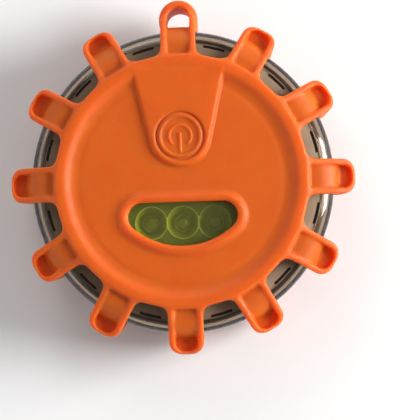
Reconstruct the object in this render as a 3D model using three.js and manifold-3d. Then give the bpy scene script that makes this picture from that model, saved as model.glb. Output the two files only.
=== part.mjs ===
// LED safety flare: a round puck of clear casing in a one-piece rubber boot with twelve bumper lugs.
// Twelve red LEDs flash out through the gaps between the lugs, three white LEDs shine through the
// window in the front, a rubber button over a tact switch picks the mode, and a magnet in the
// battery door holds the puck to steel.
//
// Millimetres. +Z points out of the front face, +Y to the lug with the hanging eye. The origin is on
// the puck's axis, in the plane of the magnet's pole face.
import * as THREE from "three";
import { mergeVertices } from "three/addons/utils/BufferGeometryUtils.js";
import Module from "manifold-3d";

const wasm = await Module();
wasm.setup();

// ---- Driving dimensions ---------------------------------------------------------------------

const GAP = 0.3; // clearance between pieces that touch on the real puck
const TALL = 40; // above everything, for cutters that go right through
const BELOW = -5;

const puck = { thickness: 33, midHeight: 16.5, rimFacets: 48, innerFacets: 36 };

const boot = {
  ringRadius: 40.4, // outer edge of the front and rear rings
  ringInner: 33.4, // foot of the slope between the recessed disc and the ring
  crownInner: 37.4,
  crownOuter: 39,
  recess: 1.5, // depth of the disc below the ring's crown
  rearOpening: 35.7,
  strap: 1.2, // rubber over the casing's rim, at the bottom of each pocket
};

const lug = {
  count: 12,
  halfWidth: 5.4,
  end: 55.4,
  corner: 4.3,
  rootFillet: 2.3,
  pocketInner: 40.6,
  pocketOuter: 54,
  pocketHalfWidth: 3.5,
  pocketCorner: 2.7,
  pocketInnerCorner: 1,
  web: 17.6, // solid rubber between a lug's front and rear pockets
};

const eye = { centre: 52.7, radius: 6.3, hole: 3.6, height: 16.6, chamfer: 1 };

const casing = {
  radius: 48.5,
  fillet: 5,
  wall: 2,
  front: 29.3,
  rear: 3.7,
  parting: 16.75,
  hubRadius: 35.1, // the rear case's round boss, which fills the boot's rear opening
  hubFace: 0.6,
};

const torch = { y: -13.3, pitch: 10, cupRadius: 5.1, ledHole: 2.75 };
const torchWindow = { top: -6.8, bottom: -20.6, cornerX: 12.95, corner: 4.5, lip: 3, glassTop: 31 };

const button = { y: 14.1, radius: 6.9, hole: 7.7, travel: 0.6 };
const tongue = { radius: 9.25, topHalfWidth: 13.6, topY: 32.1, overlap: 2 };

const board = { low: 16.4, high: 18, radius: 42.6 };
const sideLed = { inner: 34.6, z: 21.3, length: 8.4 };

const cell = { radius: 5.25, length: 44.5, pitch: 10.9, z: 9.55, plusEnd: 24.6 };
const door = { radius: 33.2, low: 0.6, high: 3.3, sealRadius: 31.6 };
const sealSection = 0.55;
const bay = { halfX: 25.5, halfY: 17.25, corner: 2 }; // opening that the cells pass through

const caseScrewRadius = 41; // the case screws stand on this circle, behind four of the lugs
const doorScrewAt = [8, 26];
const boardScrewAt = [18.6, 21.6];

// Screws: head and shaft are radii, the rest are heights. A tip above its head enters from the rear.
const caseScrew = { head: 2.6, headLow: 5.9, headHigh: 8.2, shaft: 1.45, tip: 24.2 };
const doorScrew = { head: 2.6, headLow: 0.9, headHigh: 2.1, shaft: 1.2, tip: 10.2 };
const boardScrew = { head: 2.4, headLow: board.high + GAP, headHigh: 19.9, shaft: 1.1, tip: 9 };

// ---- Geometry helpers -----------------------------------------------------------------------

function toSolid(geometry) {
  const bare = new THREE.BufferGeometry();
  bare.setAttribute("position", geometry.getAttribute("position"));
  bare.setIndex(geometry.index);
  const merged = mergeVertices(bare, 1e-4);
  const corners = merged.index.array;
  const triVerts = [];
  for (let i = 0; i < corners.length; i += 3) {
    const [a, b, c] = corners.slice(i, i + 3);
    const hasArea = a !== b && b !== c && c !== a;
    if (hasArea) triVerts.push(a, b, c);
  }
  return new wasm.Manifold(
    new wasm.Mesh({
      numProp: 3,
      vertProperties: merged.getAttribute("position").array,
      triVerts: new Uint32Array(triVerts),
    }),
  );
}

function toGeometry(solid) {
  const { vertProperties, triVerts } = solid.getMesh();
  const geometry = new THREE.BufferGeometry();
  geometry.setAttribute("position", new THREE.BufferAttribute(vertProperties, 3));
  geometry.setIndex(new THREE.BufferAttribute(triVerts, 1));
  geometry.computeVertexNormals();
  return geometry;
}

const join = (first, ...rest) => rest.reduce((all, next) => all.add(next), first);
const cut = (body, ...cutters) => cutters.reduce((left, next) => left.subtract(next), body);

// Points [a, b] on an arc, from one angle to another in degrees, both ends included.
function arc(centreA, centreB, radius, from, to, steps) {
  return Array.from({ length: steps + 1 }, (_, i) => {
    const angle = THREE.MathUtils.degToRad(from + ((to - from) * i) / steps);
    return [centreA + radius * Math.cos(angle), centreB + radius * Math.sin(angle)];
  });
}

// A profile of [radius, z] points, anticlockwise, turned round Z. A ring's profile is closed here.
function turnedGeometry(profile, facets) {
  const onAxis = profile[0][0] === 0;
  const closed = onAxis ? profile : [...profile, profile[0]];
  const points = closed.map(([radius, z]) => new THREE.Vector2(radius, z));
  return new THREE.LatheGeometry(points, facets).rotateX(Math.PI / 2);
}

const turned = (profile, facets = puck.rimFacets) => toSolid(turnedGeometry(profile, facets));

function prism(points, low, high) {
  const shape = new THREE.Shape(points.map(([x, y]) => new THREE.Vector2(x, y)));
  const options = { depth: high - low, bevelEnabled: false };
  return toSolid(new THREE.ExtrudeGeometry(shape, options).translate(0, 0, low));
}

function rod(radius, low, high, x = 0, y = 0, facets = 24) {
  const geometry = new THREE.CylinderGeometry(radius, radius, high - low, facets);
  return toSolid(geometry.rotateX(Math.PI / 2).translate(x, y, (low + high) / 2));
}

function block([x0, x1], [y0, y1], [z0, z1]) {
  const geometry = new THREE.BoxGeometry(x1 - x0, y1 - y0, z1 - z0);
  return toSolid(geometry.translate((x0 + x1) / 2, (y0 + y1) / 2, (z0 + z1) / 2));
}

function sealRing(radius, z, facets) {
  return turned(arc(radius, z, sealSection, 0, 288, 4), facets);
}

// A round wire along a curve, closed at both ends.
function wire(curve, radius, steps, sides) {
  const section = new THREE.Shape(
    arc(0, 0, radius, 0, 360 - 360 / sides, sides - 1).map(([x, y]) => new THREE.Vector2(x, y)),
  );
  return toSolid(new THREE.ExtrudeGeometry(section, { steps, extrudePath: curve, bevelEnabled: false }));
}

const rotated = ([x, y], degrees) => {
  const angle = THREE.MathUtils.degToRad(degrees);
  const [c, s] = [Math.cos(angle), Math.sin(angle)];
  return [x * c - y * s, x * s + y * c];
};
const rotateAll = (points, degrees) => points.map((point) => rotated(point, degrees));
const fourCorners = ([x, y]) => [[x, y], [-x, y], [-x, -y], [x, -y]];
const quarterTurns = [0, 90, 180, 270];
const lugAngles = Array.from({ length: lug.count }, (_, i) => 90 + (i * 360) / lug.count);
const gapAngles = lugAngles.map((angle) => angle + 180 / lug.count);
const eyeAngle = lugAngles[0];
const caseScrewPlaces = quarterTurns.map((angle) => rotated([caseScrewRadius, 0], angle));

// Corner-rounded rectangle, anticlockwise.
function roundedRectangle(halfX, halfY, corner, steps = 3) {
  const [x, y] = [halfX - corner, halfY - corner];
  return [
    ...arc(x, -y, corner, -90, 0, steps),
    ...arc(x, y, corner, 0, 90, steps),
    ...arc(-x, y, corner, 90, 180, steps),
    ...arc(-x, -y, corner, 180, 270, steps),
  ];
}

// ---- Outlines shared by pieces that fit each other --------------------------------------------

// The casing's outer profile grown by a distance, from the axis at the rear to the axis in front.
function casingProfile(grown, innerRadius = 0) {
  const centreRadius = casing.radius - casing.fillet;
  const fillet = casing.fillet + grown;
  return [
    [innerRadius, casing.rear - grown],
    ...arc(centreRadius, casing.rear + casing.fillet, fillet, -90, 0, 3),
    ...arc(centreRadius, casing.front - casing.fillet, fillet, 0, 90, 3),
    [innerRadius, casing.front + grown],
  ];
}

// The torch window: a straight top, round upper corners and one wide arc below, grown by a distance.
function windowOutline(grown) {
  const { top, bottom, cornerX, corner } = torchWindow;
  const cornerY = top - corner;
  const drop = cornerY - bottom;
  const arcRadius = (cornerX ** 2 + drop ** 2 - corner ** 2) / (2 * (drop - corner));
  const arcY = bottom + arcRadius;
  const meet = THREE.MathUtils.radToDeg(Math.atan2(cornerY - arcY, cornerX));
  return [
    ...arc(cornerX, cornerY, corner + grown, meet, 90, 5),
    ...arc(-cornerX, cornerY, corner + grown, 90, 180 - meet, 5),
    ...arc(0, arcY, arcRadius + grown, -180 - meet, meet, 8).slice(1, -1),
  ];
}

// ---- The rubber boot --------------------------------------------------------------------------

// One lug pointing along +X, from its lower root fillet round its end to its upper root fillet.
function lugOutline() {
  const { halfWidth, end, corner, rootFillet } = lug;
  const rootY = halfWidth + rootFillet;
  const rootX = Math.sqrt((boot.ringRadius + rootFillet) ** 2 - rootY ** 2);
  const meet = THREE.MathUtils.radToDeg(Math.atan2(rootY, rootX));
  const endX = end - corner;
  const endY = halfWidth - corner;
  return [
    ...arc(rootX, -rootY, rootFillet, 180 - meet, 90, 2),
    ...arc(endX, -endY, corner, -90, 0, 3),
    ...arc(endX, endY, corner, 0, 90, 3),
    ...arc(rootX, rootY, rootFillet, -90, -180 + meet, 2),
  ];
}

function pocketOutline() {
  const { pocketInner, pocketOuter, pocketHalfWidth, pocketCorner, pocketInnerCorner } = lug;
  const outerX = pocketOuter - pocketCorner;
  const outerY = pocketHalfWidth - pocketCorner;
  const innerX = pocketInner + pocketInnerCorner;
  const innerY = pocketHalfWidth - pocketInnerCorner;
  return [
    ...arc(outerX, -outerY, pocketCorner, -90, 0, 2),
    ...arc(outerX, outerY, pocketCorner, 0, 90, 2),
    ...arc(innerX, innerY, pocketInnerCorner, 90, 180, 1),
    ...arc(innerX, -innerY, pocketInnerCorner, 180, 270, 1),
  ];
}

// Half of the boot's outer form, the front as [radius, height above mid height] from rim to ring.
// The rear half mirrors it, apart from the recessed disc.
function bootFrontSlope() {
  const half = puck.thickness / 2;
  return [
    [lug.end + 0.2, half - 8.4],
    [lug.end - 1.2, half - 5.8],
    [49, half - 3.4],
    [boot.ringRadius + 0.4, half - 0.9],
    [boot.crownOuter, half],
  ];
}

function bootEnvelope() {
  const half = puck.thickness / 2;
  const slope = bootFrontSlope();
  const front = slope.map(([radius, height]) => [radius, puck.midHeight + height]);
  const rear = slope.map(([radius, height]) => [radius, puck.midHeight - height]).reverse();
  return turned([
    [0, puck.midHeight - half],
    ...rear,
    ...front,
    [boot.crownInner, puck.thickness],
    [boot.ringInner, puck.thickness - boot.recess],
    [0, puck.thickness - boot.recess],
  ]);
}

function tongueOutline() {
  const [cornerX, cornerY] = [tongue.topHalfWidth, tongue.topY - button.y];
  const distance = Math.hypot(cornerX, cornerY);
  const toCorner = Math.atan2(cornerY, cornerX);
  const touch = THREE.MathUtils.radToDeg(toCorner - Math.acos(tongue.radius / distance));
  const round = arc(0, button.y, tongue.radius, -180 - touch, touch, 16);
  const [touchX, touchY] = round[round.length - 1];
  const side = new THREE.Vector2(cornerX - touchX, tongue.topY - touchY).normalize();
  const top = [cornerX + side.x * tongue.overlap, tongue.topY + side.y * tongue.overlap];
  return [...round, top, [-top[0], top[1]]];
}

function rubberBoot() {
  const gear = lugAngles.flatMap((angle) => rotateAll(lugOutline(), angle));
  const strapTop = turned(casingProfile(GAP + boot.strap));
  const [webLow, webHigh] = [puck.midHeight - lug.web / 2, puck.midHeight + lug.web / 2];
  const frontPlane = puck.thickness;
  const lipTop = frontPlane - 0.2;
  const eyePlace = rotated([eye.centre, 0], eyeAngle);
  const eyeLow = puck.midHeight - eye.height / 2;
  const eyeHigh = puck.midHeight + eye.height / 2;
  const eyeRound = turnedGeometry(
    [
      [0, eyeLow],
      [eye.radius - eye.chamfer, eyeLow],
      [eye.radius, eyeLow + eye.chamfer],
      [eye.radius, eyeHigh - eye.chamfer],
      [eye.radius - eye.chamfer, eyeHigh],
      [0, eyeHigh],
    ],
    24,
  ).translate(...eyePlace, 0);

  let body = join(
    prism(gear, BELOW, TALL).intersect(bootEnvelope()),
    toSolid(eyeRound),
    prism(tongueOutline(), casing.front + GAP, frontPlane),
    prism(windowOutline(torchWindow.lip), casing.front + GAP, lipTop - 0.6),
    prism(windowOutline(torchWindow.lip - 0.8), casing.front + GAP, lipTop),
  );
  body = cut(
    body,
    turned(casingProfile(GAP)),
    rod(boot.rearOpening, BELOW, casing.rear + 1, 0, 0, puck.rimFacets),
    prism(windowOutline(0), casing.front, TALL),
    rod(button.hole, casing.front, TALL, 0, button.y, 28),
  );
  const pocketRanges = [
    [webHigh, TALL],
    [BELOW, webLow],
  ];
  for (const angle of lugAngles) {
    const outline = rotateAll(pocketOutline(), angle);
    const ranges = angle === eyeAngle ? [[BELOW, TALL]] : pocketRanges;
    for (const [low, high] of ranges) body = cut(body, prism(outline, low, high).subtract(strapTop));
  }
  const eyeHole = rod(eye.hole, BELOW, TALL, ...eyePlace, 20).subtract(strapTop);
  return cut(body, eyeHole);
}

// ---- Button and switch ------------------------------------------------------------------------

function powerButton() {
  const top = puck.thickness;
  const underside = casing.front + 1;
  const face = turned(
    [
      [0, underside],
      [button.radius, underside],
      [button.radius, top - 0.5],
      [button.radius - 0.3, top],
      [button.radius - 0.7, top],
      [button.radius - 1, top - 0.55],
      [0, top - 0.7],
    ],
    28,
  );
  const [iconLow, iconTop] = [top - 0.9, top - 0.25];
  const iconRadius = 3.5;
  const stroke = 0.4;
  const opening = 48; // half of the icon's gap, in degrees
  const from = -90 + opening;
  const to = 270 - opening;
  const outline = [
    ...arc(0, button.y, iconRadius + stroke, from, to, 14),
    ...arc(0, button.y, iconRadius - stroke, to, from, 14),
  ];
  return join(
    toSolid(toGeometry(face).translate(0, button.y, 0)),
    prism(outline, iconLow, iconTop),
    block([-stroke, stroke], [button.y - 5.1, button.y + 1.1], [iconLow, iconTop]),
  );
}

const plungerTop = 22.8;
const switchTop = 21.8;
const switchBore = 2.05;

function buttonActuator() {
  const low = plungerTop + button.travel / 2 + 0.05;
  const collarTop = casing.front - casing.wall - 0.4;
  return toSolid(
    turnedGeometry(
      [
        [0, low],
        [1.8, low],
        [2.2, low + 0.4],
        [2.2, collarTop - 0.8],
        [2.9, collarTop - 0.8],
        [2.9, collarTop],
        [2.2, collarTop],
        [2.2, casing.front + 1 - GAP],
        [0, casing.front + 1 - GAP],
      ],
      20,
    ).translate(0, button.y, 0),
  );
}

function switchBody() {
  const half = 3;
  const box = block(
    [-half, half],
    [button.y - half, button.y + half],
    [board.high + GAP, switchTop],
  );
  return cut(box, rod(switchBore, switchTop - 1.4, TALL, 0, button.y, 20));
}

const switchPlunger = () => rod(switchBore - GAP, switchTop - 0.9, plungerTop, 0, button.y, 20);

// ---- Casing -----------------------------------------------------------------------------------

function frontLens() {
  const { radius, fillet, wall, front } = casing;
  const skirt = casing.parting + GAP / 2;
  const filletCentre = [radius - fillet, front - fillet];
  const shell = turned([
    [0, front - wall],
    ...arc(...filletCentre, fillet - wall, 90, 0, 2),
    [radius - wall, skirt],
    [radius, skirt],
    ...arc(...filletCentre, fillet, 0, 90, 4),
    [0, front],
  ]);
  const glass = prism(windowOutline(-GAP), front - 0.5, torchWindow.glassTop);
  const bossLow = 19.3;
  const bosses = caseScrewPlaces.map(([x, y]) => rod(3, bossLow, front - wall + 0.5, x, y, 12));
  const pilots = caseScrewPlaces.map(([x, y]) => rod(1.8, BELOW, 25, x, y, 8));
  const actuatorHole = rod(2.6, BELOW, TALL, 0, button.y, 20);
  return cut(join(shell, glass, ...bosses), actuatorHole, ...pilots);
}

function rearCase() {
  const { radius, fillet, wall, rear, hubRadius, hubFace } = casing;
  const rim = casing.parting - GAP / 2;
  const filletCentre = [radius - fillet, rear + fillet];
  const floor = rear + wall;
  const lip = { inner: 43.4, outer: radius - wall - GAP, top: 19 };
  const groove = { bottom: 44.9, low: 17.3, high: 18.5 };
  const ledgeLow = door.high + GAP;
  const doorOpening = door.radius + 0.4;
  const shell = turned([
    [doorOpening, hubFace],
    [hubRadius, hubFace],
    [hubRadius, rear],
    ...arc(...filletCentre, fillet, -90, 0, 4),
    [radius, rim],
    [lip.outer, rim],
    [lip.outer, groove.low],
    [groove.bottom, groove.low],
    [groove.bottom, groove.high],
    [lip.outer, groove.high],
    [lip.outer, lip.top],
    [lip.inner, lip.top],
    [lip.inner, 13.5],
    [radius - wall, 10.4],
    ...arc(...filletCentre, fillet - wall, 0, -90, 2),
    [15, floor],
    [15, ledgeLow],
    [doorOpening, ledgeLow],
  ]);
  const caseBosses = caseScrewPlaces.map(([x, y]) => rod(3.9, floor - 0.5, lip.top, x, y, 12));
  const doorBosses = fourCorners(doorScrewAt).map(([x, y]) => rod(2.8, floor - 0.5, 11, x, y, 10));
  const posts = fourCorners(boardScrewAt).map(([x, y]) =>
    rod(2.8, floor - 0.5, board.low - GAP, x, y, 10),
  );
  const bayCut = prism(roundedRectangle(bay.halfX, bay.halfY, bay.corner), BELOW, floor + 1);
  const caseHoles = caseScrewPlaces.flatMap(([x, y]) => [
    rod(caseScrew.shaft + GAP, BELOW, TALL, x, y, 8),
    rod(caseScrew.head + GAP, BELOW, caseScrew.headHigh + GAP, x, y, 12),
  ]);
  const doorHoles = fourCorners(doorScrewAt).map(([x, y]) =>
    rod(doorScrew.shaft + GAP, BELOW, TALL, x, y, 8),
  );
  const postHoles = fourCorners(boardScrewAt).map(([x, y]) =>
    rod(boardScrew.shaft + GAP, boardScrew.tip - GAP, TALL, x, y, 8),
  );
  const solids = join(shell, ...caseBosses, ...doorBosses, ...posts);
  return cut(solids, bayCut, ...caseHoles, ...doorHoles, ...postHoles);
}

const caseSeal = () => sealRing(45.55, 17.9, puck.rimFacets);

// ---- Screws -----------------------------------------------------------------------------------

// A pan-head screw at [x, y] with a cross recess. A head below its tip points to the rear.
function screw(size, [x, y]) {
  const { head, headLow, headHigh, shaft, tip } = size;
  const headToRear = tip > headHigh;
  const shank = headToRear ? [headHigh - 0.5, tip] : [tip, headLow + 0.5];
  const outer = headToRear ? headLow : headHigh;
  const crown = headToRear
    ? [[0, headLow], [head - 0.5, headLow], [head, headLow + 0.5], [head, headHigh], [0, headHigh]]
    : [[0, headLow], [head, headLow], [head, headHigh - 0.5], [head - 0.5, headHigh], [0, headHigh]];
  const recess = [outer - 0.6, outer + 0.6];
  const arm = head * 0.6;
  const slots = [
    block([x - arm, x + arm], [y - 0.35, y + 0.35], recess),
    block([x - 0.35, x + 0.35], [y - arm, y + arm], recess),
  ];
  const pan = toSolid(turnedGeometry(crown, 12).translate(x, y, 0));
  return cut(join(pan, rod(shaft, ...shank, x, y, 6)), ...slots);
}

// ---- Light sources and their holders -----------------------------------------------------------

// A 5 mm LED standing on its flange at the origin and pointing along +Z.
function ledGeometry(length, facets) {
  const [body, flange] = [2.5, 2.9];
  const domeBase = length - body;
  return turnedGeometry(
    [
      [0, 0],
      [flange, 0],
      [flange, 1],
      [body, 1],
      ...arc(0, domeBase, body, 0, 90, 3).slice(0, -1),
      [0, length],
    ],
    facets,
  );
}

const torchLed = (x) => toSolid(ledGeometry(8, 14).translate(x, torch.y, board.high + GAP));

// Lies flat and points outwards, with its two legs bent down to the board.
function sideLedAt(angle) {
  const place = (geometry) =>
    toSolid(
      geometry
        .rotateY(Math.PI / 2)
        .translate(sideLed.inner, 0, sideLed.z)
        .rotateZ(THREE.MathUtils.degToRad(angle)),
    );
  const legLength = sideLed.z - board.high - GAP;
  const legs = [-1.27, 1.27].map((y) =>
    place(new THREE.BoxGeometry(legLength, 0.5, 0.6).translate(legLength / 2, y, -0.2)),
  );
  return join(place(ledGeometry(sideLed.length, 8)), ...legs);
}

function ledCarrier() {
  const wall = { inner: 31.5, outer: 32.7 };
  const plate = { low: 24.5, top: 25.7 };
  const rim = { inner: 44.5, outer: 45, top: 26 };
  const skirt = { inner: 45, edge: 45.6, low: 19.4, top: 25.2 };
  const slot = { radius: 43.7, width: 0.8, length: 7.2, depth: 0.7 };
  const profile = [
    [wall.inner, board.high + GAP],
    [wall.outer, board.high + GAP],
    [wall.outer, plate.low],
    [skirt.inner, plate.low],
    [skirt.inner, skirt.low],
    [skirt.edge, skirt.low],
    [skirt.edge, skirt.top],
    [rim.outer, skirt.top],
    [rim.outer, rim.top],
    [rim.inner, rim.top],
    [rim.inner, plate.top],
    [wall.inner, plate.top],
  ];
  const notches = caseScrewPlaces.map(([x, y]) => rod(3.6, BELOW, TALL, x, y, 12));
  const slots = gapAngles.map((angle) =>
    toSolid(
      new THREE.BoxGeometry(slot.width, slot.length, 2 * slot.depth)
        .translate(slot.radius, 0, plate.top)
        .rotateZ(THREE.MathUtils.degToRad(angle)),
    ),
  );
  return cut(turned(profile, puck.innerFacets), ...notches, ...slots);
}

function torchReflector() {
  const [low, top] = [20.6, casing.front - casing.wall - GAP];
  const cups = [-1, 0, 1].map((step) => step * torch.pitch);
  const flange = prism(windowOutline(0.6), top - 0.8, top);
  const barrels = cups.map((x) => rod(torch.cupRadius + 0.4, low, top, x, torch.y, 20));
  const bowl = [
    [0, low - 1],
    [torch.ledHole, low - 1],
    [torch.ledHole, low + 0.8],
    [3.9, low + 2.2],
    [4.7, low + 4.2],
    [torch.cupRadius, top],
    [torch.cupRadius, top + 1],
    [0, top + 1],
  ];
  const bowls = cups.map((x) => toSolid(turnedGeometry(bowl, 20).translate(x, torch.y, 0)));
  return cut(join(flange, ...barrels), ...bowls);
}

// ---- Electronics ------------------------------------------------------------------------------

const leadY = { positive: cell.pitch, negative: -cell.pitch };
const leadX = 28.4;

function mainBoard() {
  const holes = [
    ...caseScrewPlaces.map(([x, y]) => rod(4.3, BELOW, TALL, x, y, 12)),
    ...fourCorners(boardScrewAt).map(([x, y]) => rod(1.5, BELOW, TALL, x, y, 8)),
    ...Object.values(leadY).map((y) => rod(1.1, BELOW, TALL, leadX, y, 8)),
  ];
  return cut(rod(board.radius, board.low, board.high, 0, 0, puck.innerFacets), ...holes);
}

const onBoard = (height) => [board.high + GAP, board.high + GAP + height];
const controllerChip = () => block([11, 19.7], [7, 11], onBoard(1.6));
const driveTransistor = () => block([12, 16.5], [-2.5, 0], onBoard(1.5));

function storageCapacitor() {
  const [low, high] = onBoard(7);
  return rod(3.15, low, high, -18, 6, 24);
}

// ---- Battery bay ------------------------------------------------------------------------------

const tray = { halfX: 26.6, halfY: 18.4, wall: 1, low: 6, leadHoleZ: 12 };

function batteryTray() {
  const top = board.low - GAP;
  const outer = prism(roundedRectangle(tray.halfX, tray.halfY, 1.5), tray.low, top);
  const inner = block(
    [-tray.halfX + tray.wall, tray.halfX - tray.wall],
    [-tray.halfY + tray.wall, tray.halfY - tray.wall],
    [BELOW, top - tray.wall],
  );
  const ribs = [-0.5, 0.5].map((step) => {
    const y = step * cell.pitch;
    return block([-20, 20], [y - 0.7, y + 0.7], [top - 2.9, top - tray.wall / 2]);
  });
  const leadHoles = Object.values(leadY).map((y) =>
    toSolid(
      new THREE.CylinderGeometry(0.9, 0.9, 4, 10)
        .rotateZ(Math.PI / 2)
        .translate(tray.halfX - tray.wall / 2, y, tray.leadHoleZ),
    ),
  );
  return cut(join(cut(outer, inner), ...ribs), ...leadHoles);
}

// The middle cell of the three lies the other way round.
const cells = [-1, 0, 1].map((step) => ({ y: step * cell.pitch, plus: step === 0 ? -1 : 1 }));

function batteryCell({ y, plus }) {
  const [nubRadius, nub, edge] = [1.9, 0.9, 0.4];
  const { radius, length } = cell;
  const geometry = turnedGeometry(
    [
      [0, 0],
      [radius, 0],
      [radius, length - nub - edge],
      [radius - edge, length - nub],
      [nubRadius, length - nub],
      [nubRadius, length],
      [0, length],
    ],
    16,
  );
  geometry.translate(0, 0, cell.plusEnd - length).rotateY((plus * Math.PI) / 2);
  return toSolid(geometry.translate(0, y, cell.z));
}

function contactPlate({ y, plus }) {
  const near = plus * (cell.plusEnd + GAP);
  const far = near + plus * 0.4;
  return block([Math.min(near, far), Math.max(near, far)], [y - 3.6, y + 3.6], [5.8, 13.6]);
}

// A spring wound as a cone, wide at the tray's wall and narrow at the cell's negative end.
class ConeSpring extends THREE.Curve {
  constructor({ y, plus }) {
    super();
    this.y = y;
    this.side = -plus;
  }
  getPoint(t, target = new THREE.Vector3()) {
    const [turns, wideRadius, tipRadius] = [4, 3.9, 2.2];
    const wireRoom = 0.35;
    const wallEnd = tray.halfX - tray.wall - GAP - wireRoom;
    const cellEnd = cell.length - cell.plusEnd + GAP + wireRoom;
    const angle = t * turns * Math.PI * 2;
    const radius = THREE.MathUtils.lerp(wideRadius, tipRadius, t);
    const x = this.side * THREE.MathUtils.lerp(wallEnd, cellEnd, t);
    return target.set(x, this.y + radius * Math.cos(angle), cell.z + radius * Math.sin(angle));
  }
}

const contactSpring = (place) => wire(new ConeSpring(place), 0.3, 36, 4);

// From the tray's end contact, out through its wall and up through the board to a pad on top.
function batteryLead(y) {
  const route = new THREE.CatmullRomCurve3([
    new THREE.Vector3(25.9, y, tray.leadHoleZ),
    new THREE.Vector3(27.4, y, tray.leadHoleZ + 0.1),
    new THREE.Vector3(leadX, y, tray.leadHoleZ + 1.6),
    new THREE.Vector3(leadX, y, board.high + 1),
    new THREE.Vector3(leadX - 0.6, y, board.high + 2.2),
    new THREE.Vector3(leadX - 2.4, y, board.high + 1.4),
    new THREE.Vector3(leadX - 3, y, board.high + 0.8),
  ]);
  return wire(route, 0.6, 14, 6);
}

const cupRadius = 14;

function batteryDoor() {
  const { radius, low, high, sealRadius } = door;
  const edge = 0.5;
  const grooveHalf = 0.85;
  const potTop = 3.9;
  const profile = [
    [0, low],
    [radius - edge, low],
    [radius, low + edge],
    [radius, high],
    [sealRadius + grooveHalf, high],
    [sealRadius + grooveHalf, high - 1.2],
    [sealRadius - grooveHalf, high - 1.2],
    [sealRadius - grooveHalf, high],
    [cupRadius + 1.2, high],
    [cupRadius + 1.2, potTop],
    [0, potTop],
  ];
  const disc = turned(profile, puck.innerFacets);
  const cupRecess = rod(cupRadius + GAP, BELOW, potTop - 0.8, 0, 0, puck.innerFacets);
  const screwHoles = fourCorners(doorScrewAt).flatMap(([x, y]) => [
    rod(doorScrew.shaft + GAP, BELOW, TALL, x, y, 8),
    rod(doorScrew.head + GAP, BELOW, doorScrew.headHigh + GAP, x, y, 14),
  ]);
  return cut(disc, cupRecess, ...screwHoles);
}

const doorSeal = () => sealRing(door.sealRadius, door.high - 0.35, puck.innerFacets);

const magnetRadius = 12.6;

function magnetCup() {
  const facets = puck.innerFacets;
  const recess = rod(magnetRadius + GAP, BELOW, 2.2, 0, 0, facets);
  return cut(rod(cupRadius, 0, 2.8, 0, 0, facets), recess);
}

const magnet = () => rod(magnetRadius, 0, 1.9, 0, 0, puck.innerFacets);

// ---- Materials --------------------------------------------------------------------------------

const material = (color, roughness, metalness = 0, opacity = 1) =>
  new THREE.MeshStandardMaterial({
    color,
    roughness,
    metalness,
    opacity,
    transparent: opacity < 1,
  });

const materials = {
  orangeRubber: material(0xe2682f, 0.6),
  clearPlastic: material(0xe9e4dc, 0.08, 0, 0.35),
  redLens: material(0xd9a9a4, 0.1, 0, 0.6),
  whiteLens: material(0xdcdccf, 0.1, 0, 0.6),
  reflector: material(0x7c7c33, 0.3, 0.6),
  greyPlastic: material(0x8f877f, 0.45),
  whitePlastic: material(0xd8d6d0, 0.5),
  blackPlastic: material(0x1c1c1e, 0.5),
  blackRubber: material(0x161616, 0.8),
  boardGreen: material(0x1d5a34, 0.4),
  steel: material(0xb9bcc0, 0.3, 1),
  spring: material(0xc9ccd0, 0.25, 1),
  magnetNickel: material(0xa9abaf, 0.28, 1),
  cellLabel: material(0x2c3a4c, 0.4),
  leadRed: material(0xb01818, 0.5),
  leadBlack: material(0x141414, 0.5),
};

// ---- Assembly ---------------------------------------------------------------------------------

const flare = new THREE.Group();

function place(name, solid, look) {
  const mesh = new THREE.Mesh(toGeometry(solid), look);
  mesh.name = name;
  flare.add(mesh);
}

place("rubber_boot", rubberBoot(), materials.orangeRubber);
place("power_button", powerButton(), materials.orangeRubber);
place("button_actuator", buttonActuator(), materials.whitePlastic);
place("switch_body", switchBody(), materials.blackPlastic);
place("switch_plunger", switchPlunger(), materials.blackPlastic);

place("front_lens", frontLens(), materials.clearPlastic);
place("rear_case", rearCase(), materials.clearPlastic);
place("case_seal", caseSeal(), materials.blackRubber);
caseScrewPlaces.forEach((at, i) =>
  place(`case_screw_${i + 1}`, screw(caseScrew, at), materials.steel),
);

place("main_board", mainBoard(), materials.boardGreen);
fourCorners(boardScrewAt).forEach((at, i) =>
  place(`board_screw_${i + 1}`, screw(boardScrew, at), materials.steel),
);
place("controller_chip", controllerChip(), materials.blackPlastic);
place("drive_transistor", driveTransistor(), materials.blackPlastic);
place("storage_capacitor", storageCapacitor(), materials.steel);

place("torch_reflector", torchReflector(), materials.reflector);
[-1, 0, 1].forEach((step, i) =>
  place(`torch_led_${i + 1}`, torchLed(step * torch.pitch), materials.whiteLens),
);
place("led_carrier", ledCarrier(), materials.greyPlastic);
gapAngles.forEach((angle, i) => {
  const number = String(i + 1).padStart(2, "0");
  place(`side_led_${number}`, sideLedAt(angle), materials.redLens);
});

place("battery_tray", batteryTray(), materials.blackPlastic);
cells.forEach((where, i) => {
  place(`battery_cell_${i + 1}`, batteryCell(where), materials.cellLabel);
  place(`contact_plate_${i + 1}`, contactPlate(where), materials.spring);
  place(`contact_spring_${i + 1}`, contactSpring(where), materials.spring);
});
place("positive_lead", batteryLead(leadY.positive), materials.leadRed);
place("negative_lead", batteryLead(leadY.negative), materials.leadBlack);

place("battery_door", batteryDoor(), materials.blackPlastic);
place("door_seal", doorSeal(), materials.blackRubber);
fourCorners(doorScrewAt).forEach((at, i) =>
  place(`door_screw_${i + 1}`, screw(doorScrew, at), materials.steel),
);
place("magnet_cup", magnetCup(), materials.steel);
place("magnet", magnet(), materials.magnetNickel);

export default flare;
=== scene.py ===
import math

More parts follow.
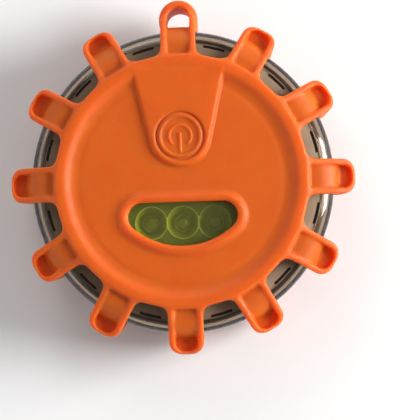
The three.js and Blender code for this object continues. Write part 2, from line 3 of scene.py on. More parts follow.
import bmesh
import bpy
import numpy as np
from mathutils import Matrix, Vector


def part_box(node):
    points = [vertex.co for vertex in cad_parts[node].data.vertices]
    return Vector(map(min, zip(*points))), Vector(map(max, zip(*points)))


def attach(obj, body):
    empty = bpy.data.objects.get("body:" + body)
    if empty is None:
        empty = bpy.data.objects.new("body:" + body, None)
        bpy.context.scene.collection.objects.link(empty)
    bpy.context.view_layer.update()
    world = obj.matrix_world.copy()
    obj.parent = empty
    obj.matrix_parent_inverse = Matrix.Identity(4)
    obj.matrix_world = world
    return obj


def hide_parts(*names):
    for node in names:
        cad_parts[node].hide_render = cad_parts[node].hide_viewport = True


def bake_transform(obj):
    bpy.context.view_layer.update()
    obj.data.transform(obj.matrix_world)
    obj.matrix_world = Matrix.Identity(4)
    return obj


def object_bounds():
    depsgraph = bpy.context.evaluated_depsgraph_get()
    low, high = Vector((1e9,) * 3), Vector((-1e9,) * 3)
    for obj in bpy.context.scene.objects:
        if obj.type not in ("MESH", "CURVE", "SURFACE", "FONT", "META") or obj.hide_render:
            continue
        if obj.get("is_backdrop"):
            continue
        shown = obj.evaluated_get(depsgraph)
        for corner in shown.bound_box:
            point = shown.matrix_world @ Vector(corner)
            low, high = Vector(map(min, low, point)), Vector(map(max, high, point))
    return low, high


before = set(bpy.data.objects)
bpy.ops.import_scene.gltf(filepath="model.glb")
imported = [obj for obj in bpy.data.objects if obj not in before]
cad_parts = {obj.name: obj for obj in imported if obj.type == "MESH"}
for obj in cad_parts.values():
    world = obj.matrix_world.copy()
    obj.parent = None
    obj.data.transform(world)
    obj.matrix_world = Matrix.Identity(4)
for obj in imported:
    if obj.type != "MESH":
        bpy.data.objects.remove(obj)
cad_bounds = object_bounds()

import openvdb
from mathutils import Matrix, Vector

MM = 0.001  # shapes are worked out in millimetres and built in metres

# ---- Sizes ------------------------------------------------------------------------------------


def box_mm(node):
    low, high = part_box(node)
    return np.array(low) / MM, np.array(high) / MM


def middle_mm(node):
    low, high = box_mm(node)
    return (low + high) / 2


boot_low, boot_high = box_mm("rubber_boot")
lens_high = box_mm("front_lens")[1]
button_low, button_high = box_mm("power_button")
carrier_low, carrier_high = box_mm("led_carrier")
board_low, board_high = box_mm("main_board")
reflector_low, reflector_high = box_mm("torch_reflector")
door_low, door_high = box_mm("battery_door")

THICKNESS = boot_high[2]  # the front ring's crown above the plane that the back rests on
MID = THICKNESS / 2
LUG_END = -boot_low[1]
EYE_END = boot_high[1]
LUG_PITCH = math.radians(30)
EYE_ANGLE = math.radians(90)
LUG_HALF_WIDTH = 5.4
RING_RADIUS = 40.4
CROWN = 38.4  # radius of the front ring's highest line
RING_FOOT = 33.0  # radius of the shallow groove between the recessed disc and the ring
DISC_TOP = THICKNESS - 1.5
POCKET_INNER = 40.6
POCKET_OUTER = LUG_END - 1.3
POCKET_HALF_WIDTH = 3.5
WEB = 17.6  # solid rubber between a lug's front and rear pockets
STRAP = 1.5
REAR_OPENING = 35.7
EYE_RADIUS = 6.3
EYE_CENTRE = EYE_END - EYE_RADIUS
EYE_HOLE = 3.6
EYE_HOLE_WIDENING = 0.012  # share by which the hole widens for each millimetre further back
EYE_LEVEL = 8  # depth below the crown at which the eye has its stated size
EYE_HALF_THICKNESS = 8.3
DRAFT = 0.03  # how far a lug's walls draw in for each millimetre further back
POCKET_DRAFT = 0.025
POCKET_LEVEL = 12  # height from the middle plane at which a pocket has its stated size
LUG_CORNER = 4.2
LUG_BLEND = 2.8
EDGE = 0.9  # width of the blend along a moulded edge

CASE_RADIUS = lens_high[0]
CASE_FILLET = 5.0
CASE_WALL = 2.0
CASE_FRONT = 29.3
CASE_REAR = 3.7
PARTING = 16.75
GAP = 0.3

BUTTON_Y = (button_low[1] + button_high[1]) / 2
BUTTON_RADIUS = button_high[0]
BUTTON_HOLE = BUTTON_RADIUS + 0.8
BUTTON_UNDER = button_low[2]
TONGUE_RADIUS = 9.25
TONGUE_CORNER = (13.6, 32.1)
TONGUE_END = 35.6  # from here the tongue's top dips under the ring
TONGUE_DIP = 0.35
TONGUE_DRAFT = 0.2
TONGUE_BLEND = 0.7

WINDOW_TOP = -6.8
WINDOW_BOTTOM = -20.6
WINDOW_CORNER_X = 12.95
WINDOW_CORNER = 4.5
GLASS_TOP = 31.0
TORCH_Y = -13.3
TORCH_PITCH = 10.0
CUP_RADIUS = 5.1
LIP_OUTSET = 1.35  # from the window's edge to the middle of the lip round it
LIP_RADIUS = 1.45
LIP_FLATTENING = 1.15
LIP_BLEND = 1.3

CORNERS = [(1, 1), (-1, 1), (-1, -1), (1, -1)]
CASE_SCREW_CIRCLE = 41.0
CASE_SCREW_PLACES = [(CASE_SCREW_CIRCLE, 0), (0, CASE_SCREW_CIRCLE)]
CASE_SCREW_PLACES += [(-CASE_SCREW_CIRCLE, 0), (0, -CASE_SCREW_CIRCLE)]
DOOR_SCREW_X, DOOR_SCREW_Y = 8, 26
DOOR_SCREW_PLACES = [(DOOR_SCREW_X * sx, DOOR_SCREW_Y * sy) for sx, sy in CORNERS]
BOARD_SCREW_X, BOARD_SCREW_Y = 18.6, 21.6
BOARD_SCREW_PLACES = [(BOARD_SCREW_X * sx, BOARD_SCREW_Y * sy) for sx, sy in CORNERS]
BELOW, ABOVE = -5, 40  # heights past either face of every part, where cutters start and end

# ---- Distance fields --------------------------------------------------------------------------
# A field gives each point's distance to a surface in millimetres, negative inside. Blending two
# fields leaves a fillet between their surfaces, as on a moulded part.


def smooth_union(a, b, width):
    near = np.maximum(width - np.abs(a - b), 0) / width
    return np.minimum(a, b) - near * near * width * 0.25


def smooth_both(a, b, width):
    return -smooth_union(-a, -b, width)


def smooth_cut(body, cutter, width):
    return -smooth_union(-body, cutter, width)


def rounded_box_field(x, y, half_x, half_y, corner):
    over_x = np.abs(x) - half_x + corner
    over_y = np.abs(y) - half_y + corner
    outside = np.hypot(np.maximum(over_x, 0), np.maximum(over_y, 0))
    return outside + np.minimum(np.maximum(over_x, over_y), 0) - corner


def polygon_field(x, y, corners):
    nearest = np.full(x.shape, np.inf)
    inside = np.zeros(x.shape, bool)
    for (ax, ay), (bx, by) in zip(corners, corners[1:] + corners[:1]):
        ex, ey = bx - ax, by - ay
        px, py = x - ax, y - ay
        along = np.clip((px * ex + py * ey) / (ex * ex + ey * ey), 0, 1)
        nearest = np.minimum(nearest, (px - ex * along) ** 2 + (py - ey * along) ** 2)
        if ey:
            crosses = (ay <= y) != (by <= y)
            inside ^= crosses & (px < ex * py / ey)
    return np.where(inside, -1, 1) * np.sqrt(nearest)


def blurred(table, spread):
    """The table smoothed along both axes by a bell curve, its spread counted in cells."""
    reach = int(3 * spread)
    weights = np.exp(-0.5 * (np.arange(-reach, reach + 1) / spread) ** 2)
    weights /= weights.sum()
    for axis in (0, 1):
        pad = [(reach, reach) if a == axis else (0, 0) for a in (0, 1)]
        wide = np.pad(table, pad, mode="edge")
        size = table.shape[axis]
        parts = [wide.take(range(i, i + size), axis) * w for i, w in enumerate(weights)]
        table = sum(parts)
    return table


def turned_field(profile, softness, low, high, step):
    """A field from a profile of (radius, z) turned round Z, its corners softened."""
    radii = np.arange(-4 * softness, max(r for r, _ in profile) + 4, step)
    heights = np.arange(low, high, step)
    grid_r, grid_z = np.meshgrid(radii, heights, indexing="ij")
    table = blurred(polygon_field(np.abs(grid_r), grid_z, profile), softness / step)

    def field(radius, z):
        at_r = np.clip((radius - radii[0]) / step, 0, len(radii) - 1.001)
        at_z = np.clip((z - heights[0]) / step, 0, len(heights) - 1.001)
        i, j = at_r.astype(int), at_z.astype(int)
        fr, fz = at_r - i, at_z - j
        below = table[i, j] * (1 - fr) + table[i + 1, j] * fr
        above = table[i, j + 1] * (1 - fr) + table[i + 1, j + 1] * fr
        return below * (1 - fz) + above * fz

    return field


def casing_field(radius, z, grown):
    half = (CASE_FRONT - CASE_REAR) / 2
    middle = (CASE_FRONT + CASE_REAR) / 2
    return rounded_box_field(radius, z - middle, CASE_RADIUS, half, CASE_FILLET) - grown


window_corner_y = WINDOW_TOP - WINDOW_CORNER
window_drop = window_corner_y - WINDOW_BOTTOM
window_arc_radius = (WINDOW_CORNER_X**2 + window_drop**2 - WINDOW_CORNER**2) / (
    2 * (window_drop - WINDOW_CORNER)
)
window_arc_y = WINDOW_BOTTOM + window_arc_radius


def window_field(x, y):
    """The torch window: straight on top, round corners and one wide arc below."""
    x = np.abs(x)
    up = y - window_corner_y
    corner = np.hypot(x - WINDOW_CORNER_X, up) - WINDOW_CORNER
    wide_arc = np.hypot(x, y - window_arc_y) - window_arc_radius
    # Beyond the corner's centre, the wide arc rules below the line through both centres.
    slope = (window_corner_y - window_arc_y) / WINDOW_CORNER_X
    below_line = y - window_arc_y < slope * x
    beside = np.where(below_line, wide_arc, corner)
    return np.where(x > WINDOW_CORNER_X, beside, np.maximum(y - WINDOW_TOP, wide_arc))


def window_outline(grown, steps=10):
    """The same outline as points, anticlockwise."""
    meet = math.atan2(window_corner_y - window_arc_y, WINDOW_CORNER_X)
    radius, wide = WINDOW_CORNER + grown, window_arc_radius + grown
    right = arc(WINDOW_CORNER_X, window_corner_y, radius, meet, math.pi / 2, steps)
    left = [(-x, y) for x, y in reversed(right)]
    bottom = arc(0, window_arc_y, wide, -math.pi - meet, meet, 3 * steps)
    return right + left + bottom[1:-1]


def tongue_field(x, y):
    """The raised tongue: a circle round the button, with straight sides out to the ring."""
    x = np.abs(x)
    y = y - BUTTON_Y
    corner_x, corner_y = TONGUE_CORNER[0], TONGUE_CORNER[1] - BUTTON_Y
    distance = math.hypot(corner_x, corner_y)
    touch = math.atan2(corner_y, corner_x) - math.acos(TONGUE_RADIUS / distance)
    nx, ny = math.cos(touch), math.sin(touch)
    side = x * nx + y * ny - TONGUE_RADIUS
    return np.where(y * nx - x * ny > 0, side, np.hypot(x, y) - TONGUE_RADIUS)


def boot_profile():
    """Half of the boot's outer form, from the axis at the rear to the axis in front."""
    slope = [(LUG_END + 0.4, MID - 8.4), (LUG_END - 1.1, MID - 5.6), (49.2, MID - 3.3)]
    slope += [(41.2, MID - 0.75), (CROWN + 1.5, MID - 0.04), (CROWN, MID)]
    front = [(r, MID + h) for r, h in slope]
    rear = [(r, MID - h) for r, h in reversed(slope)]
    face = [(CROWN - 1.1, THICKNESS - 0.1), (CROWN - 1.8, THICKNESS - 0.38)]
    face += [(CROWN - 2.6, THICKNESS - 0.9), (CROWN - 3.4, DISC_TOP + 0.18)]
    face += [(RING_FOOT + 1.1, DISC_TOP - 0.02), (RING_FOOT, DISC_TOP - 0.16)]
    face += [(RING_FOOT - 1.4, DISC_TOP), (0, DISC_TOP)]
    return [(0, 0)] + rear + front + face


boot_envelope = turned_field(boot_profile(), softness=0.35, low=-5, high=THICKNESS + 5, step=0.1)


def folded(x, y):
    """Turns each point to the nearest lug's middle, so that one lug along +X stands for twelve."""
    turn = np.arctan2(y, x) - EYE_ANGLE
    turn -= LUG_PITCH * np.round(turn / LUG_PITCH)
    radius = np.hypot(x, y)
    return radius * np.cos(turn), radius * np.sin(turn)


def pocket_field(u, v, height):
    """A lug's pocket in plan: square inner corners, round outer corners, slightly drafted."""
    draft = POCKET_DRAFT * (POCKET_LEVEL - height)
    half_width = POCKET_HALF_WIDTH + 0.1 - draft
    reach = 20
    outer = POCKET_OUTER - draft
    round_end = rounded_box_field(u - outer + reach, v, reach, half_width, 2.6)
    square_end = rounded_box_field(u - POCKET_INNER - reach, v, reach, half_width, 1.0)
    return np.maximum(round_end, square_end)


def boot_field(x, y, z):
    radius = np.hypot(x, y)
    height = np.abs(z - MID)
    u, v = folded(x, y)
    eye_u, eye_v = y, -x

    depth = THICKNESS - z
    end = LUG_END + 0.1 - DRAFT * depth
    half_width = LUG_HALF_WIDTH + 0.3 - DRAFT * depth
    inner = 20
    lug = rounded_box_field(u - (end + inner) / 2, v, (end - inner) / 2, half_width, LUG_CORNER)
    gear = smooth_union(radius - RING_RADIUS, lug, LUG_BLEND)
    body = smooth_both(gear, boot_envelope(radius, z), EDGE)

    eye = np.hypot(eye_u - EYE_CENTRE, eye_v) - EYE_RADIUS + DRAFT * (depth - EYE_LEVEL)
    body = smooth_union(body, smooth_both(eye, height - EYE_HALF_THICKNESS, 2.0), 1.6)

    tongue_top = THICKNESS - 0.05 - TONGUE_DIP * np.maximum(y - TONGUE_END, 0)
    drafted = tongue_field(x, y) - 0.1 - TONGUE_DRAFT * depth
    tongue = smooth_both(drafted, z - tongue_top, EDGE)
    tongue = np.maximum(np.maximum(tongue, DISC_TOP - 1 - z), y - CROWN)
    body = smooth_union(body, tongue, TONGUE_BLEND)

    window = window_field(x, y)
    lip = np.hypot(window - LIP_OUTSET, (z - DISC_TOP) * LIP_FLATTENING) - LIP_RADIUS
    body = smooth_union(body, lip, LIP_BLEND)

    body = smooth_cut(body, np.maximum(window, CASE_FRONT - z), 0.5)
    at_button = np.hypot(x, y - BUTTON_Y)
    body = smooth_cut(body, np.maximum(at_button - BUTTON_HOLE, CASE_FRONT - z), EDGE)
    body = smooth_cut(body, casing_field(radius, z, 0.12), 0.3)
    body = smooth_cut(body, np.maximum(radius - REAR_OPENING, z - 5), 0.8)

    off_strap = -casing_field(radius, z, STRAP)
    pocket = np.maximum(pocket_field(u, v, height), WEB / 2 - height)
    body = smooth_cut(body, smooth_both(pocket, off_strap, EDGE), EDGE)
    widening = 1 + EYE_HOLE_WIDENING * (depth - EYE_LEVEL)
    hole_u = (eye_u - EYE_CENTRE) / (1 + 0.5 * (widening - 1))
    hole_v = eye_v / widening
    eye_hole = np.hypot(hole_u, hole_v) - EYE_HOLE
    eye_pocket = smooth_union(pocket_field(hole_u + EYE_CENTRE, hole_v, height), eye_hole, 0.5)
    return smooth_cut(body, smooth_both(eye_pocket, off_strap, 0.5), EDGE)


# ---- Meshes -----------------------------------------------------------------------------------


def arc(cx, cy, radius, start, end, steps):
    angles = [start + (end - start) * i / steps for i in range(steps + 1)]
    return [(cx + radius * math.cos(a), cy + radius * math.sin(a)) for a in angles]


def field_gradient(field, points, reach):
    x, y, z = points.T
    sides = [
        field(x + reach, y, z) - field(x - reach, y, z),
        field(x, y + reach, z) - field(x, y - reach, z),
        field(x, y, z + reach) - field(x, y, z - reach),
    ]
    return field(x, y, z), np.stack(sides, axis=1) / (2 * reach)


def mesh_from_field(name, field, low, high, margin, step):
    """The surface where the field is zero. Each vertex is then moved onto it, and its normal
    comes from the field, so that the shading is exact."""
    axes = [np.arange(a - margin, b + margin + step, step) for a, b in zip(low, high)]
    values = np.empty([len(a) for a in axes], np.float32)
    x, y = np.meshgrid(axes[0], axes[1], indexing="ij")
    for k, z in enumerate(axes[2]):
        values[:, :, k] = field(x, y, np.full_like(x, z))
    limit = 3 * step
    grid = openvdb.FloatGrid(limit)
    grid.copyFromArray(np.clip(values, -limit, limit))
    points, triangles, quads = grid.convertToPolygons(isovalue=0.0, adaptivity=0.0)
    points = points * step + np.array([a[0] for a in axes])
    for _ in range(3):
        value, gradient = field_gradient(field, points, step * 0.1)
        steepness = np.maximum((gradient**2).sum(1), 0.25)
        move = gradient * (value / steepness)[:, None]
        length = np.maximum(np.linalg.norm(move, axis=1), 1e-9)
        points = points - move * np.minimum(1, 0.4 * step / length)[:, None]
    _, gradient = field_gradient(field, points, step * 0.12)
    normals = gradient / np.maximum(np.linalg.norm(gradient, axis=1), 1e-9)[:, None]
    mesh = bpy.data.meshes.new(name)
    mesh.from_pydata((points * MM).tolist(), [], quads.tolist() + triangles.tolist())
    mesh.shade_smooth()
    mesh.normals_split_custom_set_from_vertices(normals.tolist())
    return mesh


def softened(points, radius, steps=3):
    """A closed outline with its corners rounded, apart from those on the axis."""
    out = []
    count = len(points)
    for i, (x, y) in enumerate(points):
        before = Vector(points[i - 1]) - Vector((x, y))
        after = Vector(points[(i + 1) % count]) - Vector((x, y))
        if before.length < 1e-6 or after.length < 1e-6:
            continue
        half = before.angle(after) / 2
        if abs(x) < 1e-6 or half > math.radians(80):
            out.append((x, y))
            continue
        room = min(radius / math.tan(half), before.length * 0.45, after.length * 0.45)
        start = Vector((x, y)) + before.normalized() * room
        end = Vector((x, y)) + after.normalized() * room
        for k in range(steps + 1):
            t = k / steps
            p = start * (1 - t) ** 2 + Vector((x, y)) * 2 * t * (1 - t) + end * t * t
            out.append((p.x, p.y))
    return out


def lathe(profile, segments=96, centre=(0, 0)):
    """A profile of (radius, z), anticlockwise, turned round a line along Z."""
    bm = bmesh.new()
    rings = []
    for radius, z in profile:
        count = 1 if radius < 1e-6 else segments
        angles = [2 * math.pi * j / segments for j in range(count)]
        around = [(centre[0] + radius * math.cos(a), centre[1] + radius * math.sin(a)) for a in angles]
        rings.append([bm.verts.new((x * MM, y * MM, z * MM)) for x, y in around])
    for lower, upper in zip(rings, rings[1:] + rings[:1]):
        if len(lower) == 1 and len(upper) == 1:
            continue
        for j in range(segments):
            k = (j + 1) % segments
            corners = [lower[j % len(lower)], lower[k % len(lower)]]
            corners += [upper[k % len(upper)], upper[j % len(upper)]]
            bm.faces.new(list(dict.fromkeys(corners)))
    return to_mesh(bm)


def prism(outline, low, high, edge=0.0):
    """An outline raised from one height to another, its rims bevelled."""
    bm = bmesh.new()
    bottom = [bm.verts.new((x * MM, y * MM, low * MM)) for x, y in outline]
    top = [bm.verts.new((x * MM, y * MM, high * MM)) for x, y in outline]
    bm.faces.new(bottom[::-1])
    bm.faces.new(top)
    count = len(outline)
    for i in range(count):
        j = (i + 1) % count
        bm.faces.new([bottom[i], bottom[j], top[j], top[i]])
    if edge:
        rims = [e for e in bm.edges if abs(e.verts[0].co.z - e.verts[1].co.z) < 1e-9]
        bmesh.ops.bevel(bm, geom=rims, offset=edge * MM, segments=2, affect="EDGES", profile=0.6)
    return to_mesh(bm)


def rectangle(x0, x1, y0, y1, corner=0.3):
    return softened([(x0, y0), (x1, y0), (x1, y1), (x0, y1)], corner)


def rod(radius, low, high, centre=(0, 0), edge=0.2, segments=48):
    profile = [(0, low), (radius, low), (radius, high), (0, high)]
    return lathe(softened(profile, edge, 2), segments, centre)


def rods(places, radius, low=BELOW, high=ABOVE, edge=0.2, segments=48):
    return [rod(radius, low, high, at, edge, segments) for at in places]


def flat_ring(inner, outer, low, high, at=(0, 0), segments=32):
    return lathe([(inner, low), (outer, low), (outer, high), (inner, high)], segments, at)


def tube(points, radius, sides=12):
    """A round wire along a line of points."""
    bm = bmesh.new()
    path = [Vector(p) for p in points]
    side = Vector((0, 0, 1))
    rings = []
    for i, point in enumerate(path):
        ahead = path[min(i + 1, len(path) - 1)] - path[max(i - 1, 0)]
        ahead.normalize()
        side = side - ahead * side.dot(ahead)
        if side.length < 1e-3:
            side = ahead.orthogonal()
        side.normalize()
        up = ahead.cross(side)
        ring = []
        for j in range(sides):
            a = 2 * math.pi * j / sides
            at = point + side * radius * math.cos(a) + up * radius * math.sin(a)
            ring.append(bm.verts.new(at * MM))
        rings.append(ring)
    for lower, upper in zip(rings, rings[1:]):
        for j in range(sides):
            k = (j + 1) % sides
            bm.faces.new([lower[j], lower[k], upper[k], upper[j]])
    bm.faces.new(rings[0][::-1])
    bm.faces.new(rings[-1])
    return to_mesh(bm)


def to_mesh(bm):
    bmesh.ops.recalc_face_normals(bm, faces=bm.faces)
    mesh = bpy.data.meshes.new("shape")
    bm.to_mesh(mesh)
    bm.free()
    return mesh


def merged(*meshes):
    bm = bmesh.new()
    for mesh in meshes:
        bm.from_mesh(mesh)
    mesh = bpy.data.meshes.new("shape")
    bm.to_mesh(mesh)
    bm.free()
    return mesh


def moved(mesh, matrix):
    copy = mesh.copy()
    copy.transform(matrix)
    return copy


def shift(x, y, z=0):
    return Matrix.Translation((x * MM, y * MM, z * MM))


def add(*meshes):
    return [("UNION", mesh) for mesh in meshes]


def cut(*meshes):
    return [("DIFFERENCE", mesh) for mesh in meshes]


def joined(base, steps):
    """A mesh after the boolean steps that add() and cut() list, one after the other."""
    scene = bpy.context.scene.collection
    body = bpy.data.objects.new("joining", base)
    scene.objects.link(body)
    helpers = []
    for operation, mesh in steps:
        helper = bpy.data.objects.new("helper", mesh)
        scene.objects.link(helper)
        helpers.append(helper)
        modifier = body.modifiers.new("boolean", "BOOLEAN")
        modifier.object = helper
        modifier.operation = operation
        modifier.solver = "MANIFOLD"
    graph = bpy.context.evaluated_depsgraph_get()
    graph.update()
    result = bpy.data.meshes.new_from_object(body.evaluated_get(graph))
    for obj in [body] + helpers:
        bpy.data.objects.remove(obj)
    return result


def piece(name, mesh, material, body="root", nodes=(), slot=None, sharp=32, own_normals=False):
    """Shows a mesh as one named piece, riding a CAD body and standing for its CAD nodes. Its slot is looked
    up as the material's usual one, unless another is given, and is then not used."""
    obj = bpy.data.objects.new(name, mesh)
    bpy.context.scene.collection.objects.link(obj)
    mesh.materials.clear()
    mesh.materials.append(material)
    if not own_normals:
        mesh.shade_smooth()
        mesh.set_sharp_from_angle(angle=math.radians(sharp))
    if body:
        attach(obj, body)
    if nodes:
        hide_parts(*nodes)
    slot = slot or usual_slots[material.name]
    return obj


# ---- Materials --------------------------------------------------------------------------------
# Colours are given as red, green and blue from 0 to 255.

usual_slots = {}


def srgb(red, green, blue):
    out = []
    for value in (red, green, blue):
        share = value / 255
        out.append(share / 12.92 if share <= 0.04045 else ((share + 0.055) / 1.055) ** 2.4)
    return (*out, 1.0)


class Look:
    """A material whose colour, roughness and bump are driven by noise over the object itself."""

    def __init__(self, name, slot=None):
        usual_slots[name] = slot
        self.material = bpy.data.materials.new(name)
        self.material.use_nodes = True
        self.tree = self.material.node_tree
        self.shader = self.tree.nodes["Principled BSDF"]
        self.output = self.tree.nodes["Material Output"]
        self.coordinates = self.node("ShaderNodeTexCoord").outputs["Object"]

    def node(self, kind, links=None, **settings):
        made = self.tree.nodes.new(kind)
        for key, value in settings.items():
            setattr(made, key, value)
        for key, value in (links or {}).items():
            self.set(made, key, value)
        return made

    def set(self, node, key, value):
        socket = node.inputs[key]
        if isinstance(value, bpy.types.NodeSocket):
            self.tree.links.new(value, socket)
        else:
            socket.default_value = value

    def noise(self, scale, detail=3.0, roughness=0.55):
        links = {"Vector": self.coordinates, "Scale": scale, "Detail": detail, "Roughness": roughness}
        return self.node("ShaderNodeTexNoise", links).outputs["Fac"]

    def ramp(self, value, low, high, to_low=0.0, to_high=1.0):
        links = {"Value": value, "From Min": low, "From Max": high, "To Min": to_low, "To Max": to_high}
        return self.node("ShaderNodeMapRange", links).outputs["Result"]

    def mix(self, share, first, second):
        made = self.node("ShaderNodeMix", {0: share, 6: first, 7: second}, data_type="RGBA")
        return made.outputs[2]

    def surface(self, colour, other, roughness, patch=120.0, grain=2600.0, grain_depth=0.01,
                wear=None, wear_share=0.25):
        patches = self.ramp(self.noise(patch), 0.35, 0.65)
        base = self.mix(patches, srgb(*colour), srgb(*other))
        low, high = roughness
        rough = self.ramp(self.noise(patch * 3, 4.0), 0.3, 0.7, low, high)
        if wear:
            rubbed = self.ramp(self.noise(patch * 6, 6.0, 0.7), 0.62, 0.78, 0.0, wear_share)
            base = self.mix(rubbed, base, srgb(*wear))
        self.set(self.shader, "Base Color", base)
        self.set(self.shader, "Roughness", rough)
        if grain_depth:
            links = {"Strength": 0.6, "Distance": grain_depth * MM, "Height": self.noise(grain, 4.0)}
            self.set(self.shader, "Normal", self.node("ShaderNodeBump", links).outputs["Normal"])
        return self

    def values(self, **values):
        names = {key: key.replace("_", " ").title() for key in values}
        names["ior"] = "IOR"
        for key, value in values.items():
            self.set(self.shader, names[key], value)
        return self


def rubber(name, slot, colour, other, wear):
    look = Look(name, slot)
    look.surface(colour, other, (0.48, 0.58), 60, 1500, 0.015, wear, wear_share=0.15)
    look.values(ior=1.42, subsurface_weight=0.9, subsurface_radius=(1.3, 0.3, 0.1), subsurface_scale=0.004)
    return look.material


orange = rubber("orange_tpr", "orange_rubber", (224, 101, 12), (219, 96, 9), (229, 109, 24))

LIGHT_LET_ON = (0.9, 0.9, 0.9, 1)  # by a clear piece, into its own shadow


def glass(name, slot, colour, other, roughness, ior=1.49, density=0.0, absorb=None, clarity=1.0):
    look = Look(name, slot)
    look.surface(colour, other, roughness, patch=50, grain=700, grain_depth=0.004)
    look.values(ior=ior, transmission_weight=clarity)
    through = look.node("ShaderNodeBsdfTransparent", {"Color": LIGHT_LET_ON}).outputs[0]
    in_shadow = look.node("ShaderNodeLightPath").outputs["Is Shadow Ray"]
    mixed = look.node("ShaderNodeMixShader", {0: in_shadow, 1: look.shader.outputs[0], 2: through})
    look.set(look.output, "Surface", mixed.outputs[0])
    if density:
        volume = look.node("ShaderNodeVolumeAbsorption", {"Color": srgb(*absorb), "Density": density})
        look.set(look.output, "Volume", volume.outputs[0])
    return look.material


amber = glass("tinted_polycarbonate", "clear_plastic", (250, 246, 240), (244, 238, 230), (0.0, 0.03),
              density=420.0, absorb=(192, 168, 138))
smoky = glass("smoked_polycarbonate", "clear_plastic", (240, 230, 218), (232, 222, 210), (0.0, 0.04),
              density=320.0, absorb=(182, 154, 124))
led_clear = glass("clear_epoxy", "white_led", (214, 218, 140), (206, 210, 132), (0.02, 0.06), ior=1.52,
                  clarity=0.88)
olive_glass = glass("olive_polycarbonate", "clear_plastic", (210, 214, 128), (202, 206, 120), (0.0, 0.03),
                    density=50.0, absorb=(188, 176, 132), clarity=0.94)
led_red = glass("red_epoxy", "red_led", (226, 120, 108), (214, 98, 88), (0.03, 0.08), ior=1.52)


def plain(name, slot, colour, other, roughness, values=None, **options):
    look = Look(name, slot)
    look.surface(colour, other, roughness, **options)
    return look.values(**(values or {})).material


metal = {"metallic": 1.0}
carrier_white = plain("white_abs", "grey_plastic", (246, 242, 238), (238, 234, 230), (0.3, 0.45))
# Dark brown that is painted shade, for the carrier's skirt.
painted_shade_brown = plain("painted_shade_brown_abs", "grey_plastic", (52, 34, 26), (44, 28, 20), (0.25, 0.4))
# Cream that is a painted highlight, for the carrier's rim.
painted_highlight_cream = plain("painted_highlight_cream_abs", "grey_plastic", (236, 226, 208), (228, 218, 200), (0.25, 0.4))
white_plastic = plain("white_pom", "white_plastic", (216, 214, 208), (206, 204, 196), (0.35, 0.5))
black_plastic = plain("black_abs", "black_plastic", (34, 34, 36), (28, 28, 30), (0.38, 0.55),
                      wear=(70, 70, 72))
black_rubber = plain("black_nitrile", "black_rubber", (24, 24, 24), (30, 30, 30), (0.6, 0.8))
olive_plastic = plain("olive_abs", "reflector", (168, 174, 48), (160, 166, 44), (0.45, 0.55))
web_orange = plain("orange_web", "orange_rubber", (216, 92, 26), (210, 88, 22), (0.45, 0.55))
# Pale olive that is a painted highlight, for the cups' lips and the LEDs' collars.
painted_highlight_olive = plain("painted_highlight_olive_abs", "reflector", (222, 226, 190), (212, 216, 180), (0.25, 0.4))
frame_green = plain("tinted_frame", "reflector", (96, 102, 56), (88, 94, 48), (0.35, 0.5))
phosphor_yellow = plain("led_phosphor", "white_led", (136, 140, 40), (128, 132, 34), (0.4, 0.5))
post_brass = plain("tinted_posts", "contact_nickel", (134, 136, 52), (126, 128, 46), (0.35, 0.5))
board_green = plain("solder_mask", "circuit_board", (24, 84, 50), (20, 74, 42), (0.25, 0.4), patch=300)
board_track = plain("masked_copper", "circuit_board", (40, 118, 66), (34, 106, 58), (0.25, 0.4), patch=300)
steel = plain("zinc_steel", "screw_steel", (190, 192, 196), (176, 178, 184), (0.25, 0.4), metal)
nickel = plain("nickel_plate", "contact_nickel", (206, 202, 192), (194, 190, 180), (0.16, 0.3), metal)
aluminium = plain("aluminium_can", "capacitor_can", (206, 208, 212), (194, 196, 202), (0.25, 0.35), metal)
cell_label = plain("cell_wrap", "cell_steel", (44, 60, 84), (38, 52, 76), (0.25, 0.4), {"coat_weight": 0.5})
lead_red = plain("red_insulation", "lead_red", (176, 28, 26), (160, 22, 22), (0.4, 0.5))
lead_black = plain("black_insulation", "lead_black", (26, 26, 26), (20, 20, 20), (0.4, 0.5))

# ---- The rubber boot --------------------------------------------------------------------------

boot_mesh = mesh_from_field("rubber_boot_shape", boot_field, boot_low, boot_high, margin=1.5, step=0.5)
piece("rubber_boot_moulding", boot_mesh, orange, nodes=["rubber_boot"], own_normals=True)

# ---- Button -----------------------------------------------------------------------------------

button_profile = [(0, BUTTON_UNDER), (BUTTON_RADIUS, BUTTON_UNDER)]
button_profile += [(BUTTON_RADIUS - 0.05, THICKNESS - 0.05), (BUTTON_RADIUS - 0.75, THICKNESS)]
button_profile += [(BUTTON_RADIUS - 1.15, THICKNESS - 0.6), (0, THICKNESS - 0.8)]
button_body = turned_field(button_profile, softness=0.12, low=28, high=36, step=0.04)
ICON_RADIUS = 3.5
ICON_HALF = 0.4
ICON_BAR_LOW, ICON_BAR_HIGH = -4.7, 0.7
ICON_TOP = THICKNESS - 0.25
ICON_GAP = math.radians(48)


def icon_field(x, y):
    """The power symbol: an open ring with its gap below, and a bar from its middle to the gap."""
    from_gap = np.abs(np.arctan2(x, -y))
    ring = np.abs(np.hypot(x, y) - ICON_RADIUS)
    end_x, end_y = ICON_RADIUS * math.sin(ICON_GAP), -ICON_RADIUS * math.cos(ICON_GAP)
    to_end = np.hypot(np.abs(x) - end_x, y - end_y)
    ring = np.where(from_gap > ICON_GAP, ring, to_end)
    bar = np.hypot(x, y - np.clip(y, ICON_BAR_LOW, ICON_BAR_HIGH))
    return np.minimum(ring, bar) - ICON_HALF


def button_field(x, y, z):
    y = y - BUTTON_Y
    body = button_body(np.hypot(x, y), z)
    icon = np.maximum(smooth_both(icon_field(x, y), z - ICON_TOP, 0.3), THICKNESS - 1.5 - z)
    return smooth_union(body, icon, 0.25)


button_mesh = mesh_from_field(
    "power_button_shape", button_field, button_low, button_high, margin=0.5, step=0.14
)
piece("power_button_moulding", button_mesh, orange, "button", ["power_button"], own_normals=True)

